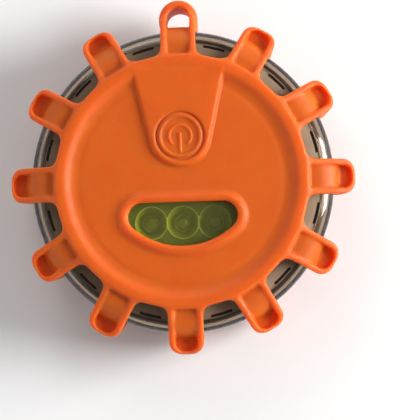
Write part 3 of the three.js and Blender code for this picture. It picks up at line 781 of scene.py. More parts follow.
WEB_OUTER_TOP = THICKNESS - 0.8
WEB_INNER_TOP = THICKNESS - 0.45
WEB_OUTER_UNDER, WEB_INNER_UNDER = 31.0, 31.2
web_profile = [
    (BUTTON_RADIUS - 0.15, WEB_INNER_UNDER),
    (BUTTON_HOLE + 0.15, WEB_OUTER_UNDER),
    (BUTTON_HOLE + 0.15, WEB_OUTER_TOP),
    (BUTTON_HOLE - 0.25, WEB_OUTER_TOP),
    (BUTTON_RADIUS - 0.15, WEB_INNER_TOP),
]
web = piece("button_web", lathe(web_profile, 96, (0, BUTTON_Y)), web_orange, body=None)
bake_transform(web)

# ---- Casing -----------------------------------------------------------------------------------

SEGMENTS = 180
LENS_POST, LENS_POST_LOW, LENS_POST_BORE, LENS_BORE_TOP = 3.0, 19.3, 1.8, 25
PIN_HOLE = 2.6
fillet_r = CASE_RADIUS - CASE_FILLET
front_z = CASE_FRONT - CASE_FILLET
lens_edge = PARTING + 0.15
inner_radius = CASE_RADIUS - CASE_WALL
lens_profile = (
    [(0, CASE_FRONT - CASE_WALL)]
    + arc(fillet_r, front_z, CASE_FILLET - CASE_WALL, math.pi / 2, 0, 8)
    + [(inner_radius, lens_edge + 0.2), (inner_radius + 0.2, lens_edge)]
    + [(CASE_RADIUS - 0.2, lens_edge), (CASE_RADIUS, lens_edge + 0.2)]
    + arc(fillet_r, front_z, CASE_FILLET, 0, math.pi / 2, 12)
    + [(0, CASE_FRONT)]
)
lens_steps = cut(prism(window_outline(1.0), BELOW, ABOVE))
lens_steps += add(*rods(CASE_SCREW_PLACES, LENS_POST, LENS_POST_LOW, CASE_FRONT - CASE_WALL + 0.5))
lens_steps += cut(*rods(CASE_SCREW_PLACES, LENS_POST_BORE, BELOW, LENS_BORE_TOP, segments=24))
lens_steps += cut(rod(PIN_HOLE, BELOW, ABOVE, (0, BUTTON_Y), segments=32))
lens_mesh = joined(lathe(lens_profile, SEGMENTS), lens_steps)
piece("front_lens_moulding", lens_mesh, amber, nodes=["front_lens"])
# The window has a tint of its own, so it is drawn apart from the rest of the lens.
glass_foot = prism(window_outline(0.98), CASE_FRONT - CASE_WALL, CASE_FRONT, 0.05)
glass_face = prism(window_outline(-GAP), CASE_FRONT - 0.5, GLASS_TOP, 0.35)
piece("torch_window_glass", joined(glass_foot, add(glass_face)), olive_glass, nodes=["front_lens"])

rear_z = CASE_REAR + CASE_FILLET
rim = PARTING - 0.15
HUB_RADIUS = 35.1
HUB_FACE = 0.6
DOOR_OPENING = door_high[0] + 0.4
FLOOR_TOP = CASE_REAR + CASE_WALL
BAY_HALF_LENGTH, BAY_HALF_WIDTH = 25.5, 17.25
REAR_POST, REAR_POST_TOP, REAR_POST_BORE = 3.9, 19.0, 1.75
SCREW_WELL, SCREW_WELL_TOP = 2.9, 8.5
INNER_POST, DOOR_POST_TOP, BOARD_POST_TOP = 2.8, 11.0, 16.1
rear_profile = softened(
    [(DOOR_OPENING, HUB_FACE), (HUB_RADIUS, HUB_FACE), (HUB_RADIUS, CASE_REAR)]
    + arc(fillet_r, rear_z, CASE_FILLET, -math.pi / 2, 0, 12)
    + [(CASE_RADIUS, rim), (46.2, rim), (46.2, 17.3), (44.9, 17.3), (44.9, 18.5), (46.2, 18.5)]
    + [(46.2, 19.0), (43.4, 19.0), (43.4, 13.5), (inner_radius, 10.4)]
    + arc(fillet_r, rear_z, CASE_FILLET - CASE_WALL, 0, -math.pi / 2, 8)
    + [(15, FLOOR_TOP), (15, 3.6), (DOOR_OPENING, 3.6)],
    0.15,
    2,
)
rear_steps = add(*rods(CASE_SCREW_PLACES, REAR_POST, FLOOR_TOP - 0.5, REAR_POST_TOP))
rear_steps += add(*rods(DOOR_SCREW_PLACES, INNER_POST, FLOOR_TOP - 0.5, DOOR_POST_TOP))
rear_steps += add(*rods(BOARD_SCREW_PLACES, INNER_POST, FLOOR_TOP - 0.5, BOARD_POST_TOP))
bay = rectangle(-BAY_HALF_LENGTH, BAY_HALF_LENGTH, -BAY_HALF_WIDTH, BAY_HALF_WIDTH, 2)
rear_steps += cut(prism(bay, BELOW, FLOOR_TOP + 1))
rear_steps += cut(*rods(CASE_SCREW_PLACES, REAR_POST_BORE, segments=24))
rear_steps += cut(*rods(CASE_SCREW_PLACES, SCREW_WELL, BELOW, SCREW_WELL_TOP, segments=32))
rear_steps += cut(*rods(DOOR_SCREW_PLACES, 1.5, segments=24))
rear_steps += cut(*rods(BOARD_SCREW_PLACES, 1.4, 8.7, segments=24))
rear_mesh = joined(lathe(rear_profile, SEGMENTS), rear_steps)
piece("rear_case_moulding", rear_mesh, smoky, nodes=["rear_case"])


def seal(name, node, radius, z, section=0.55):
    profile = arc(radius, z, section, 0, 2 * math.pi * 15 / 16, 15)
    piece(name, lathe(profile, 128), black_rubber, nodes=[node], sharp=80)


seal("case_o_ring", "case_seal", 45.55, 17.9)
seal("door_o_ring", "door_seal", 31.6, door_high[2] - 0.95)

# ---- Light sources ----------------------------------------------------------------------------

CARRIER_TOP = carrier_high[2]
CARRIER_INNER = 31.5
CARRIER_EDGE = 46.1
CARRIER_RIM = 44.5
CARRIER_RIM_OUTER = 44.7
CARRIER_PLATE_TOP = 25.7
CARRIER_UNDER = CARRIER_PLATE_TOP - 1.2
SKIRT_LOW = 19.4
SKIRT_WALL = 0.7
SLOT_RADIUS = 43.95
gap_angles = [EYE_ANGLE + LUG_PITCH * (i + 0.5) for i in range(12)]


def arc_bar(angle, half_width, half_length, low, high):
    """A short bar bent along the circle of the carrier's slots."""
    spread = half_length / SLOT_RADIUS
    outer = arc(0, 0, SLOT_RADIUS + half_width, angle - spread, angle + spread, 8)
    inner = arc(0, 0, SLOT_RADIUS - half_width, angle + spread, angle - spread, 8)
    return prism(softened(outer + inner, 0.3), low, high, 0.1)


carrier_profile = [(CARRIER_INNER, carrier_low[2]), (CARRIER_INNER + 1.2, carrier_low[2])]
carrier_profile += [(CARRIER_INNER + 1.2, CARRIER_UNDER), (CARRIER_RIM, CARRIER_UNDER)]
carrier_profile += [(CARRIER_RIM, CARRIER_PLATE_TOP), (CARRIER_INNER, CARRIER_PLATE_TOP)]
slots = [arc_bar(a, 0.42, 3.6, CARRIER_PLATE_TOP - 0.7, CARRIER_PLATE_TOP + 1) for a in gap_angles]
carrier_steps = cut(*rods(CASE_SCREW_PLACES, 3.6), *slots)
carrier_mesh = joined(lathe(softened(carrier_profile, 0.3), SEGMENTS), carrier_steps)
piece("led_carrier_ring", carrier_mesh, carrier_white, nodes=["led_carrier"])
# Black bars in the bottom of the carrier's slots are painted shade: they stand for the dark gap beneath each
# slot.
painted_shade_bars = [arc_bar(a, 0.4, 3.55, CARRIER_PLATE_TOP - 0.65, CARRIER_PLATE_TOP - 0.1) for a in gap_angles]
piece("led_slot_painted_shade", merged(*painted_shade_bars), black_plastic)

# The carrier's raised rim is coloured cream as a painted highlight: it stands for the bright line along the
# lens's rounded edge.
rim_profile = [(CARRIER_RIM, CARRIER_UNDER), (CARRIER_RIM_OUTER, CARRIER_UNDER)]
rim_profile += [(CARRIER_RIM_OUTER, CARRIER_TOP - 0.05), (CARRIER_RIM, CARRIER_TOP)]
piece("led_carrier_rim", lathe(softened(rim_profile, 0.2), SEGMENTS), painted_highlight_cream, nodes=["led_carrier"])
# The skirt is dark brown as painted shade: it darkens the band between the carrier's rim and the lens's side
# wall.
skirt_profile = [(CARRIER_RIM_OUTER, CARRIER_UNDER), (CARRIER_EDGE - SKIRT_WALL, CARRIER_UNDER - 0.6)]
skirt_profile += [(CARRIER_EDGE - SKIRT_WALL, SKIRT_LOW), (CARRIER_EDGE, SKIRT_LOW)]
skirt_profile += [(CARRIER_EDGE, CARRIER_PLATE_TOP - 0.9), (CARRIER_RIM_OUTER, CARRIER_PLATE_TOP - 0.2)]
skirt_mesh = lathe(softened(skirt_profile, 0.2), SEGMENTS)
piece("led_carrier_skirt", skirt_mesh, painted_shade_brown, nodes=["led_carrier"])

REFLECTOR_TOP = reflector_high[2]
REFLECTOR_LOW = reflector_low[2]
CUP_FOOT = 2.75
CUP_WALL = 0.35
cup_places = [(step * TORCH_PITCH, TORCH_Y) for step in (-1, 0, 1)]
bowl_curve = [(CUP_FOOT, 0.8), (3.4, 1.35), (3.95, 2.3), (4.4, 3.4), (4.75, 4.6), (CUP_RADIUS, 6.4)]
flange_steps = add(*rods(cup_places, CUP_RADIUS + 0.4, REFLECTOR_LOW, REFLECTOR_TOP, 0.1, 64))
flange_steps += cut(*rods(cup_places, CUP_RADIUS + 0.1, edge=0.05, segments=64))
flange_mesh = joined(prism(window_outline(0.6), REFLECTOR_TOP - 0.8, REFLECTOR_TOP, 0.1), flange_steps)
piece("torch_reflector_frame", flange_mesh, frame_green, nodes=["torch_reflector"])
inside = [(r, REFLECTOR_LOW + z) for r, z in bowl_curve]
outside = [(r + CUP_WALL, REFLECTOR_LOW + z - 0.1) for r, z in bowl_curve[:-1]]
lip = [(CUP_RADIUS + 0.08, REFLECTOR_TOP + 0.1), (CUP_RADIUS - 0.02, REFLECTOR_TOP + 0.1)]
cup_profile = [(CUP_FOOT, REFLECTOR_LOW + 0.4)] + outside + lip + inside[::-1]
for i, at in enumerate(cup_places):
    piece(f"torch_cup_{i + 1}", lathe(cup_profile, 72, at), olive_plastic, nodes=["torch_reflector"])
# The pale rings on the cups' lips are painted highlights along the rims.
ring = arc(CUP_RADIUS, REFLECTOR_TOP + 0.08, 0.1, 0, 2 * math.pi * 9 / 10, 9)
for i, at in enumerate(cup_places):
    piece(f"torch_cup_lip_{i + 1}", lathe(ring, 72, at), painted_highlight_olive, nodes=["torch_reflector"])


def led_profile(length, body=2.5, flange=2.9):
    dome = arc(0, length - body, body, 0, math.pi / 2, 14)
    return (
        [(0, 0), (flange - 0.15, 0), (flange, 0.15), (flange, 0.9), (flange - 0.1, 1.0), (body, 1.05)]
        + dome[:-1]
        + [(0, length)]
    )


def led_insides():
    """The two posts, the bowl that holds the die, and the bond wire, standing in a clear LED."""
    bowl = [(0, 2.6), (0.75, 2.6), (0.95, 3.6), (0.78, 3.6), (0.55, 3.0), (0, 3.0)]
    parts = [
        lathe(bowl, 24),
        prism(rectangle(-0.25, 0.25, -1.2, -0.75, 0.05), -1.5, 3.3),
        prism(rectangle(-0.25, 0.25, 0.95, 1.4, 0.05), -1.5, 3.4),
        tube([(0, 0, 3.1), (0, 0.35, 3.9), (0, 0.8, 4.0), (0, 1.15, 3.4)], 0.05, 6),
    ]
    return merged(*parts)


LED_PHOSPHOR = 0.5
# The LEDs' pale collars are painted highlights along their edges.
led_collar = [(2.45, 1.1), (2.62, 1.1), (2.62, 5.4), (2.5, 5.5)]
for i, at in enumerate(cup_places):
    name = f"torch_led_{i + 1}"
    low, high = box_mm(name)
    foot = shift(at[0], at[1], low[2])
    lens = moved(lathe(led_profile(high[2] - low[2]), 64), foot)
    piece(f"{name}_lens", lens, led_clear, nodes=[name], sharp=40)
    piece(f"{name}_frame", moved(led_insides(), foot), post_brass)
    phosphor = rod(LED_PHOSPHOR, 3.0, 3.4, edge=0.12, segments=24)
    piece(f"{name}_phosphor", moved(phosphor, foot), phosphor_yellow)
    piece(f"{name}_collar", moved(lathe(led_collar, 48), foot), painted_highlight_olive, slot="white_led")

SIDE_LED_INNER = 34.6
SIDE_LED_Z = 21.3
SIDE_LED_LENGTH = 8.4
LEG_SPACING = 1.27  # from an LED's middle to either leg
QUARTER = math.pi / 2
for i, angle in enumerate(gap_angles):
    name = f"side_led_{i + 1:02d}"
    outwards = Matrix.Rotation(angle, 4, "Z") @ shift(SIDE_LED_INNER, 0, SIDE_LED_Z)
    lie = outwards @ Matrix.Rotation(QUARTER, 4, "Y")
    lens = moved(lathe(led_profile(SIDE_LED_LENGTH), 48), lie)
    piece(f"{name}_lens", lens, led_red, nodes=[name], sharp=40)
    legs = [
        tube([(0, y, 0.4), (0, y, -0.8), (0.4, y, -1.3), (1.2, y, -1.4), (3.0, y, -1.4)], 0.28, 8)
        for y in (-LEG_SPACING, LEG_SPACING)
    ]
    piece(f"{name}_frame", moved(merged(led_insides(), *legs), lie), nickel)

# ---- Back: door, magnet and screws --------------------------------------------------------------

THREAD_PITCH = 0.8
THREAD_DEPTH = 0.18
BLADE_ANGLE = 0.4
BLADE_DEPTH = 0.7


def screw_mesh(at, head, low, high, shaft, tip):
    """A pan-head screw with a cross recess; its thread is drawn as separate rings."""
    to_rear = tip > high
    outer, inner = (low, high) if to_rear else (high, low)
    away = 1 if to_rear else -1
    crown = [(0, outer), (head * 0.55, outer + away * 0.05), (head * 0.88, outer + away * 0.35)]
    crown += [(head, outer + away * 0.75), (head, inner), (shaft + 0.1, inner)]
    length = abs(tip - inner)
    root = shaft - THREAD_DEPTH
    thread = []
    for k in range(int(length / THREAD_PITCH)):
        z = inner + away * (0.6 + k * THREAD_PITCH)
        thread += [(root, z), (shaft, z + away * 0.25), (shaft, z + away * 0.35), (root, z + away * 0.6)]
    point = [(shaft * 0.55, tip), (0, tip)]
    profile = crown + [p for p in thread if abs(p[1] - inner) < length - 0.3] + point
    if not to_rear:
        profile = profile[::-1]
    blades = []
    for turn in (BLADE_ANGLE, BLADE_ANGLE + QUARTER):
        outline = rectangle(-head * 0.6, head * 0.6, -0.32, 0.32, 0.05)
        blade = prism(outline, outer - BLADE_DEPTH, outer + BLADE_DEPTH)
        blades.append(moved(blade, shift(*at) @ Matrix.Rotation(turn, 4, "Z")))
    return joined(lathe(profile, 40, at), cut(*blades))


BOARD_TOP = board_high[2]
screw_sets = (
    ("case_screw", CASE_SCREW_PLACES, dict(head=2.6, low=5.9, high=8.2, shaft=1.45, tip=24.2)),
    ("door_screw", DOOR_SCREW_PLACES, dict(head=2.6, low=0.9, high=2.1, shaft=1.2, tip=10.2)),
    ("board_screw", BOARD_SCREW_PLACES, dict(head=2.4, low=BOARD_TOP + GAP, high=19.9, shaft=1.1, tip=9)),
)
for name, places, sizes in screw_sets:
    for i, at in enumerate(places):
        piece(f"{name}_{i + 1}_turned", screw_mesh(at, **sizes), steel, nodes=[f"{name}_{i + 1}"])

DOOR_RADIUS, DOOR_LOW, DOOR_HIGH, POT_TOP = door_high[0], door_low[2], 3.3, door_high[2]
FACE_INNER, FACE_OUTER, FACE_DEPTH = 18.5, 30.6, 0.35
SEAL_INNER, SEAL_OUTER, SEAL_DEPTH = 30.75, 32.45, 1.2
POT_RADIUS = 15.2
RIBS = 24
RIB_CLEAR = 9  # degrees that a rib keeps from a screw
CUP_OUTER = 14.0
MAGNET_RADIUS = 12.6
door_profile = [(0, DOOR_LOW), (FACE_INNER, DOOR_LOW), (FACE_INNER + 0.4, DOOR_LOW + FACE_DEPTH)]
door_profile += [(FACE_OUTER - 0.4, DOOR_LOW + FACE_DEPTH), (FACE_OUTER, DOOR_LOW)]
door_profile += [(DOOR_RADIUS, DOOR_LOW), (DOOR_RADIUS, DOOR_HIGH), (SEAL_OUTER, DOOR_HIGH)]
door_profile += [(SEAL_OUTER, DOOR_HIGH - SEAL_DEPTH), (SEAL_INNER, DOOR_HIGH - SEAL_DEPTH)]
door_profile += [(SEAL_INNER, DOOR_HIGH), (POT_RADIUS, DOOR_HIGH), (POT_RADIUS, POT_TOP), (0, POT_TOP)]
door_steps = add(*rods(DOOR_SCREW_PLACES, 4.0, DOOR_LOW, DOOR_HIGH - 0.2, 0.3))
screw_angle = math.degrees(math.atan2(DOOR_SCREW_Y, DOOR_SCREW_X))
for k in range(RIBS):
    angle = 360 / RIBS * (k + 0.5)
    if min(abs(angle % 180 - a) for a in (screw_angle, 180 - screw_angle)) < RIB_CLEAR:
        continue
    rib = prism(rectangle(20.5, 29.0, -0.5, 0.5, 0.2), DOOR_LOW, DOOR_LOW + 1.2, 0.15)
    door_steps += add(moved(rib, Matrix.Rotation(math.radians(angle), 4, "Z")))
door_steps += cut(rod(CUP_OUTER + GAP, BELOW, POT_TOP - 0.8, segments=96))
door_steps += cut(*rods(DOOR_SCREW_PLACES, 1.5, segments=24))
door_steps += cut(*rods(DOOR_SCREW_PLACES, 2.95, BELOW, 2.4))
door_mesh = joined(lathe(softened(door_profile, 0.3), 144), door_steps)
piece("battery_door_moulding", door_mesh, black_plastic, nodes=["battery_door"])

CUP_FLOOR, CUP_TOP = 2.2, 2.8
steel_cup = [(0, CUP_FLOOR), (MAGNET_RADIUS + 0.45, CUP_FLOOR), (MAGNET_RADIUS + 0.45, 0)]
steel_cup += [(CUP_OUTER, 0), (CUP_OUTER, CUP_TOP), (0, CUP_TOP)]
cup_mesh = lathe(softened(steel_cup, 0.35), 128)
piece("magnet_cup_pressing", cup_mesh, steel, nodes=["magnet_cup"], slot="magnet_cup_steel")
magnet_mesh = rod(MAGNET_RADIUS, 0, 1.9, edge=0.3, segments=128)
piece("magnet_disc", magnet_mesh, nickel, nodes=["magnet"], slot="magnet_nickel")
resin_mesh = flat_ring(MAGNET_RADIUS + 0.05, MAGNET_RADIUS + 0.4, 0.3, 2.1, segments=128)
piece("magnet_resin", resin_mesh, black_rubber)

# ---- Inside: cells, contacts, board and switch ---------------------------------------------------

CELL_PITCH = 10.9
CELL_Z = 9.55
CELL_LENGTH = 44.5
CELL_TIP = 24.6  # of a cell's positive end, from the puck's axis
SPRING_FAR = 26.6 - 1 - GAP - 0.35  # against the contact plate
SPRING_NEAR = CELL_LENGTH - CELL_TIP + GAP + 0.35  # against the cell's flat end
SPRING_WIDE, SPRING_NARROW = 3.9, 2.2
SPRING_TURNS = 4
SPRING_STEPS = 120
cell_profile = softened(
    [(0, 0), (5.25, 0), (5.25, 43.2), (4.85, 43.6), (1.9, 43.6), (1.9, CELL_LENGTH), (0, CELL_LENGTH)], 0.35
)
for i, (y, plus) in enumerate([(-CELL_PITCH, 1), (0, -1), (CELL_PITCH, 1)]):
    name = f"battery_cell_{i + 1}"
    lie = shift(0, y, CELL_Z) @ Matrix.Rotation(plus * QUARTER, 4, "Y") @ shift(0, 0, CELL_TIP - CELL_LENGTH)
    piece(f"{name}_wrapped", moved(lathe(cell_profile, 64), lie), cell_label, nodes=[name])

    coil = []
    for k in range(SPRING_STEPS + 1):
        t = k / SPRING_STEPS
        angle = t * SPRING_TURNS * 2 * math.pi
        radius = SPRING_WIDE + (SPRING_NARROW - SPRING_WIDE) * t
        x = -plus * (SPRING_FAR * (1 - t) + SPRING_NEAR * t)
        coil.append((x, y + radius * math.cos(angle), CELL_Z + radius * math.sin(angle)))
    name = f"contact_spring_{i + 1}"
    piece(f"{name}_wound", tube(coil, 0.3, 10), nickel, nodes=[name], sharp=60)

LEAD_X = 28.4
LEAD_YS = (CELL_PITCH, -CELL_PITCH)
LEAD_PLACES = [(LEAD_X, y) for y in LEAD_YS]
ALONG_X = Matrix(((0, 0, 1, 0), (1, 0, 0, 0), (0, 1, 0, 0), (0, 0, 0, 1)))

board_outline = arc(0, 0, board_high[0], 0, 2 * math.pi * 143 / 144, 143)
board_steps = cut(*rods(CASE_SCREW_PLACES, 4.3))
board_steps += cut(*rods(BOARD_SCREW_PLACES, 1.5, segments=24), *rods(LEAD_PLACES, 1.1, segments=24))
board_mesh = joined(prism(board_outline, board_low[2], BOARD_TOP, 0.12), board_steps)
piece("main_board_laminate", board_mesh, board_green, nodes=["main_board"])

PAD_TOP, TRACK_TOP = BOARD_TOP + 0.04, BOARD_TOP + 0.03
TRACK_RADII = (26.2, 28.6)
TRACK_WIDTH = 0.5
LED_JOINT_RADIUS = 33.2
pads = [flat_ring(1.55, 2.7, BOARD_TOP, PAD_TOP, at) for at in BOARD_SCREW_PLACES]
pads += [flat_ring(1.15, 2.0, BOARD_TOP, PAD_TOP, at) for at in LEAD_PLACES]
tracks = [flat_ring(r, r + TRACK_WIDTH, BOARD_TOP, TRACK_TOP, segments=128) for r in TRACK_RADII]
for angle in gap_angles:
    spoke = prism(rectangle(28.8, 33.6, -TRACK_WIDTH / 2, TRACK_WIDTH / 2, 0.1), BOARD_TOP, TRACK_TOP)
    tracks.append(moved(spoke, Matrix.Rotation(angle, 4, "Z")))
    for side in (-LEG_SPACING, LEG_SPACING):
        x = LED_JOINT_RADIUS * math.cos(angle) - side * math.sin(angle)
        y = LED_JOINT_RADIUS * math.sin(angle) + side * math.cos(angle)
        pads.append(rod(0.75, BOARD_TOP, BOARD_TOP + 0.35, (x, y), 0.3, 20))
piece("board_pads", merged(*pads), nickel)
piece("board_tracks", merged(*tracks), board_track)


def wing_legs(xs, sides, half_width):
    """Bent legs along a chip's two long sides, each side given as the y of its face."""
    path = [(-0.1, 1.0), (0.45, 1.0), (0.7, 0.05), (1.3, 0.05)]
    outline = path + [(y, z + 0.15) for y, z in path[::-1]]
    legs = []
    for face, way in sides:
        side = [(face + way * y, BOARD_TOP + z) for y, z in outline]
        legs += [moved(prism(side, x - half_width, x + half_width), ALONG_X) for x in xs]
    return merged(*legs)


def chip(node, legs_each_side, spacing, half_width):
    low, high = box_mm(node)
    body = prism(rectangle(low[0], high[0], low[1], high[1], 0.15), low[2], high[2], 0.15)
    mark = rod(0.35, high[2] - 0.12, high[2] + 1, (low[0] + 0.8, low[1] + 0.8), 0.05, 20)
    piece(f"{node}_body", joined(body, cut(mark)), black_plastic, nodes=[node])
    end = legs_each_side // 2
    xs = [middle_mm(node)[0] + spacing * k for k in range(-end, end + 1)]
    legs = wing_legs(xs, [(low[1], -1), (high[1], 1)], half_width)
    piece(f"{node}_legs", legs, nickel)


chip("controller_chip", 7, 1.1, 0.2)
chip("drive_transistor", 3, 1.5, 0.25)

can_low, can_high = box_mm("storage_capacitor")
can_at = tuple(middle_mm("storage_capacitor")[:2])
CAN = can_high[0] - can_at[0]
can_profile = [(0, can_low[2] + 0.5), (CAN, can_low[2] + 0.5), (CAN, can_low[2] + 1.2)]
can_profile += [(CAN - 0.3, can_low[2] + 1.5), (CAN, can_low[2] + 1.8), (CAN, can_high[2]), (0, can_high[2])]
score = prism(rectangle(-2, 2, -0.1, 0.1, 0.03), can_high[2] - 0.12, can_high[2] + 1)
scores = [moved(score, shift(*can_at) @ Matrix.Rotation(turn, 4, "Z")) for turn in (0, QUARTER)]
can_mesh = joined(lathe(softened(can_profile, 0.3), 64, can_at), cut(*scores))
piece("storage_capacitor_can", can_mesh, aluminium, nodes=["storage_capacitor"])
bung = rod(CAN - 0.15, BOARD_TOP, can_low[2] + 0.7, can_at, 0.15, 48)
piece("storage_capacitor_bung", bung, black_rubber)

PIN_RADIUS, COLLAR_RADIUS = 2.2, 2.9
pin_low, pin_high = box_mm("button_actuator")[0][2], box_mm("button_actuator")[1][2]
collar = CASE_FRONT - CASE_WALL - 0.4
pin_profile = [(0, pin_low), (1.8, pin_low), (PIN_RADIUS, pin_low + 0.4), (PIN_RADIUS, collar - 0.8)]
pin_profile += [(COLLAR_RADIUS, collar - 0.8), (COLLAR_RADIUS, collar), (PIN_RADIUS, collar)]
pin_profile += [(PIN_RADIUS, pin_high), (0, pin_high)]
pin_mesh = lathe(softened(pin_profile, 0.15), 48, (0, BUTTON_Y))
piece("button_actuator_pin", pin_mesh, white_plastic, "button", ["button_actuator"])

SWITCH_COVER = 0.2
switch_low, switch_high = box_mm("switch_body")
cover_low = switch_high[2] - SWITCH_COVER
bore = cut(rod(2.05, switch_high[2] - 1.4, ABOVE, (0, BUTTON_Y), 0.05, 40))
switch_outline = rectangle(switch_low[0], switch_high[0], switch_low[1], switch_high[1], 0.3)
switch_mesh = joined(prism(switch_outline, switch_low[2], cover_low, 0.1), bore)
piece("switch_base", switch_mesh, black_plastic, nodes=["switch_body"])
rivet_places = [(2.2 * sx, BUTTON_Y + 2.2 * sy) for sx, sy in CORNERS]
rivets = rods(rivet_places, 0.45, switch_high[2] - 0.1, switch_high[2] + 0.12, 0.1, 20)
cover_mesh = joined(prism(switch_outline, cover_low, switch_high[2]), bore + add(*rivets))
piece("switch_cover", cover_mesh, nickel, nodes=["switch_body"])
switch_legs = wing_legs((-2.25, 2.25), [(switch_low[1], -1), (switch_high[1], 1)], 0.35)
piece("switch_legs", switch_legs, nickel)
plunger_low, plunger_high = box_mm("switch_plunger")
plunger_mesh = rod(plunger_high[0], plunger_low[2], plunger_high[2], (0, BUTTON_Y), 0.35, 48)
piece("switch_plunger_moulding", plunger_mesh, black_plastic, "plunger", ["switch_plunger"])

TRAY_WALL = 1
tray_low, tray_high = box_mm("battery_tray")
tray_x, tray_y, tray_top = tray_high
inner_x, inner_y = tray_x - TRAY_WALL, tray_y - TRAY_WALL
tray_steps = cut(prism(rectangle(-inner_x, inner_x, -inner_y, inner_y, 0.8), BELOW, tray_top - TRAY_WALL))
for y in (-CELL_PITCH / 2, CELL_PITCH / 2):
    tray_steps += add(prism(rectangle(-20, 20, y - 0.7, y + 0.7), tray_top - 2.9, tray_top - 0.5))
for y in LEAD_YS:
    across = shift(tray_x - 0.5, y, 12) @ Matrix.Rotation(QUARTER, 4, "Y")
    tray_steps += cut(moved(rod(0.9, -2, 2, edge=0.05, segments=24), across))
tray_outline = rectangle(-tray_x, tray_x, -tray_y, tray_y, 1.5)
tray_mesh = joined(prism(tray_outline, tray_low[2], tray_top, 0.25), tray_steps)
piece("battery_tray_moulding", tray_mesh, black_plastic, nodes=["battery_tray"])

for i in (1, 2, 3):
    name = f"contact_plate_{i}"
    low, high = box_mm(name)
    hole_places = [((low[1] + high[1]) / 2 + side, low[2] + 1) for side in (-2.2, 2.2)]
    holes = rods(hole_places, 0.6, low[0] - 1, high[0] + 1, 0.02, 20)
    outline = rectangle(low[1], high[1], low[2], high[2], 0.8)
    plate = joined(prism(outline, low[0], high[0], 0.08), cut(*holes))
    piece(f"{name}_pressing", moved(plate, ALONG_X), nickel, nodes=[name])


def eased(points, rounds=3):
    """A line of points with its corners cut again and again until it is a smooth curve."""
    points = [Vector(p) for p in points]
    for _ in range(rounds):
        eased_points = [points[0]]
        for a, b in zip(points, points[1:]):
            eased_points += [a * 0.75 + b * 0.25, a * 0.25 + b * 0.75]
        points = eased_points + [points[-1]]
    return points


JOINT_X = 24.0
for name, y, look in (("positive_lead", LEAD_YS[0], lead_red), ("negative_lead", LEAD_YS[1], lead_black)):
    route = [(25.9, y, 12), (27.4, y, 12.1), (LEAD_X, y, 13.4), (LEAD_X, y, BOARD_TOP + 1.2)]
    route += [(LEAD_X - 0.6, y, BOARD_TOP + 2.2), (LEAD_X - 2.2, y, BOARD_TOP + 1.5)]
    route.append((25.5, y, BOARD_TOP + 0.9))
    piece(f"{name}_wire", tube(eased(route), 0.6, 16), look, nodes=[name])
    bare = [(25.7, y, BOARD_TOP + 0.95), (24.9, y, BOARD_TOP + 0.5), (JOINT_X, y, BOARD_TOP + 0.3)]
    blob = rod(1.1, BOARD_TOP, BOARD_TOP + 0.6, (JOINT_X, y), 0.55, 24)
    piece(f"{name}_joint", merged(tube(bare, 0.3, 10), blob), steel, slot="contact_nickel")

# ---- Floor, light and camera --------------------------------------------------------------------

floor_mesh = bpy.data.meshes.new("floor")
floor_mesh.from_pydata([(-3, -3, 0), (3, -3, 0), (3, 3, 0), (-3, 3, 0)], [], [(0, 1, 2, 3)])
floor = bpy.data.objects.new("floor", floor_mesh)
floor.location.z = -0.0002
bpy.context.scene.collection.objects.link(floor)
floor_look = Look("pale_floor")
floor_look.surface((248, 248, 248), (246, 246, 246), (0.6, 0.7), patch=2, grain_depth=0)
floor_mesh.materials.append(floor_look.material)
floor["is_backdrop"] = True

LIGHT_DISTANCE = 1.2


def area_light(name, azimuth, elevation, size, power):
    """A square soft light, placed by compass angle and height angle, aimed at the puck."""
    data = bpy.data.lights.new(name, "AREA")
    data.size = size
    data.energy = power
    light = bpy.data.objects.new(name, data)
    a, e = math.radians(azimuth), math.radians(elevation)
    offset = Vector((math.cos(e) * math.cos(a), math.cos(e) * math.sin(a), math.sin(e)))
    light.location = offset * LIGHT_DISTANCE
    light.rotation_euler = offset.to_track_quat("Z", "Y").to_euler()
    bpy.context.scene.collection.objects.link(light)
    light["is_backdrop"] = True


area_light("key", 4, 26, size=0.6, power=22)
area_light("fill", 110, 35, size=0.7, power=3)
area_light("back_fill", 190, 35, size=0.9, power=1.5)

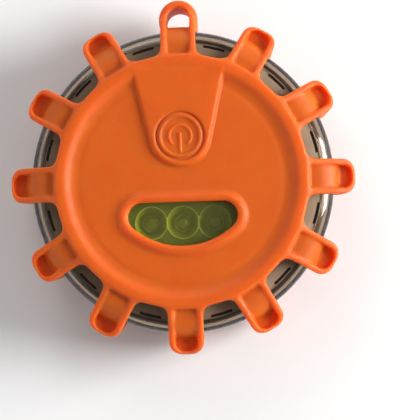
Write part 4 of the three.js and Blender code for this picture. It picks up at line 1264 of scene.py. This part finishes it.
WORLD_HORIZON, HORIZON_HEIGHT = 0.75, 0.3  # the light is even up to this height of the sky
WORLD_ZENITH, ZENITH_HEIGHT = 0.1, 0.85  # and even again above this one
world = bpy.data.worlds.new("studio")
bpy.context.scene.world = world
world.use_nodes = True
sky = world.node_tree
background = sky.nodes["Background"]
direction = sky.nodes.new("ShaderNodeTexCoord")
parts = sky.nodes.new("ShaderNodeSeparateXYZ")
fall_off = sky.nodes.new("ShaderNodeMapRange")
sky.links.new(direction.outputs["Generated"], parts.inputs[0])
sky.links.new(parts.outputs["Z"], fall_off.inputs["Value"])
fall_off.inputs["From Min"].default_value = HORIZON_HEIGHT
fall_off.inputs["From Max"].default_value = ZENITH_HEIGHT
fall_off.inputs["To Min"].default_value = WORLD_HORIZON
fall_off.inputs["To Max"].default_value = WORLD_ZENITH
sky.links.new(fall_off.outputs["Result"], background.inputs["Strength"])
background.inputs["Color"].default_value = (1, 1, 1, 1)
bpy.context.scene.view_settings.view_transform = "Standard"

CAMERA_TILT = Vector((0.05, -0.06, 1)).normalized()
CAMERA_DISTANCE = 0.5
CAMERA_ROLL = math.radians(1.8)
CAMERA_SHIFT = (0.0686, -0.071)
SENSOR = 36
FRAME_WIDTH = 0.1326  # of the picture, at the front ring
camera_data = bpy.data.cameras.new("camera")
camera = bpy.data.objects.new("camera", camera_data)
bpy.context.scene.collection.objects.link(camera)
rough_right = Vector((math.cos(CAMERA_ROLL), -math.sin(CAMERA_ROLL), 0))
up = CAMERA_TILT.cross(rough_right).normalized()
right = up.cross(CAMERA_TILT)
turn = Matrix((right, up, CAMERA_TILT)).transposed().to_4x4()
target = Vector((0, 0, THICKNESS * MM))
camera.matrix_world = Matrix.Translation(target + CAMERA_TILT * CAMERA_DISTANCE) @ turn
camera_data.sensor_width = SENSOR
camera_data.lens = SENSOR * CAMERA_DISTANCE / FRAME_WIDTH
camera_data.shift_x, camera_data.shift_y = CAMERA_SHIFT
camera_data.clip_start = 0.01
bpy.context.scene.camera = camera

visual_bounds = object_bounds()
sizes = {
    "cad": [list(corner) for corner in cad_bounds],
    "visual": [list(corner) for corner in visual_bounds],
}
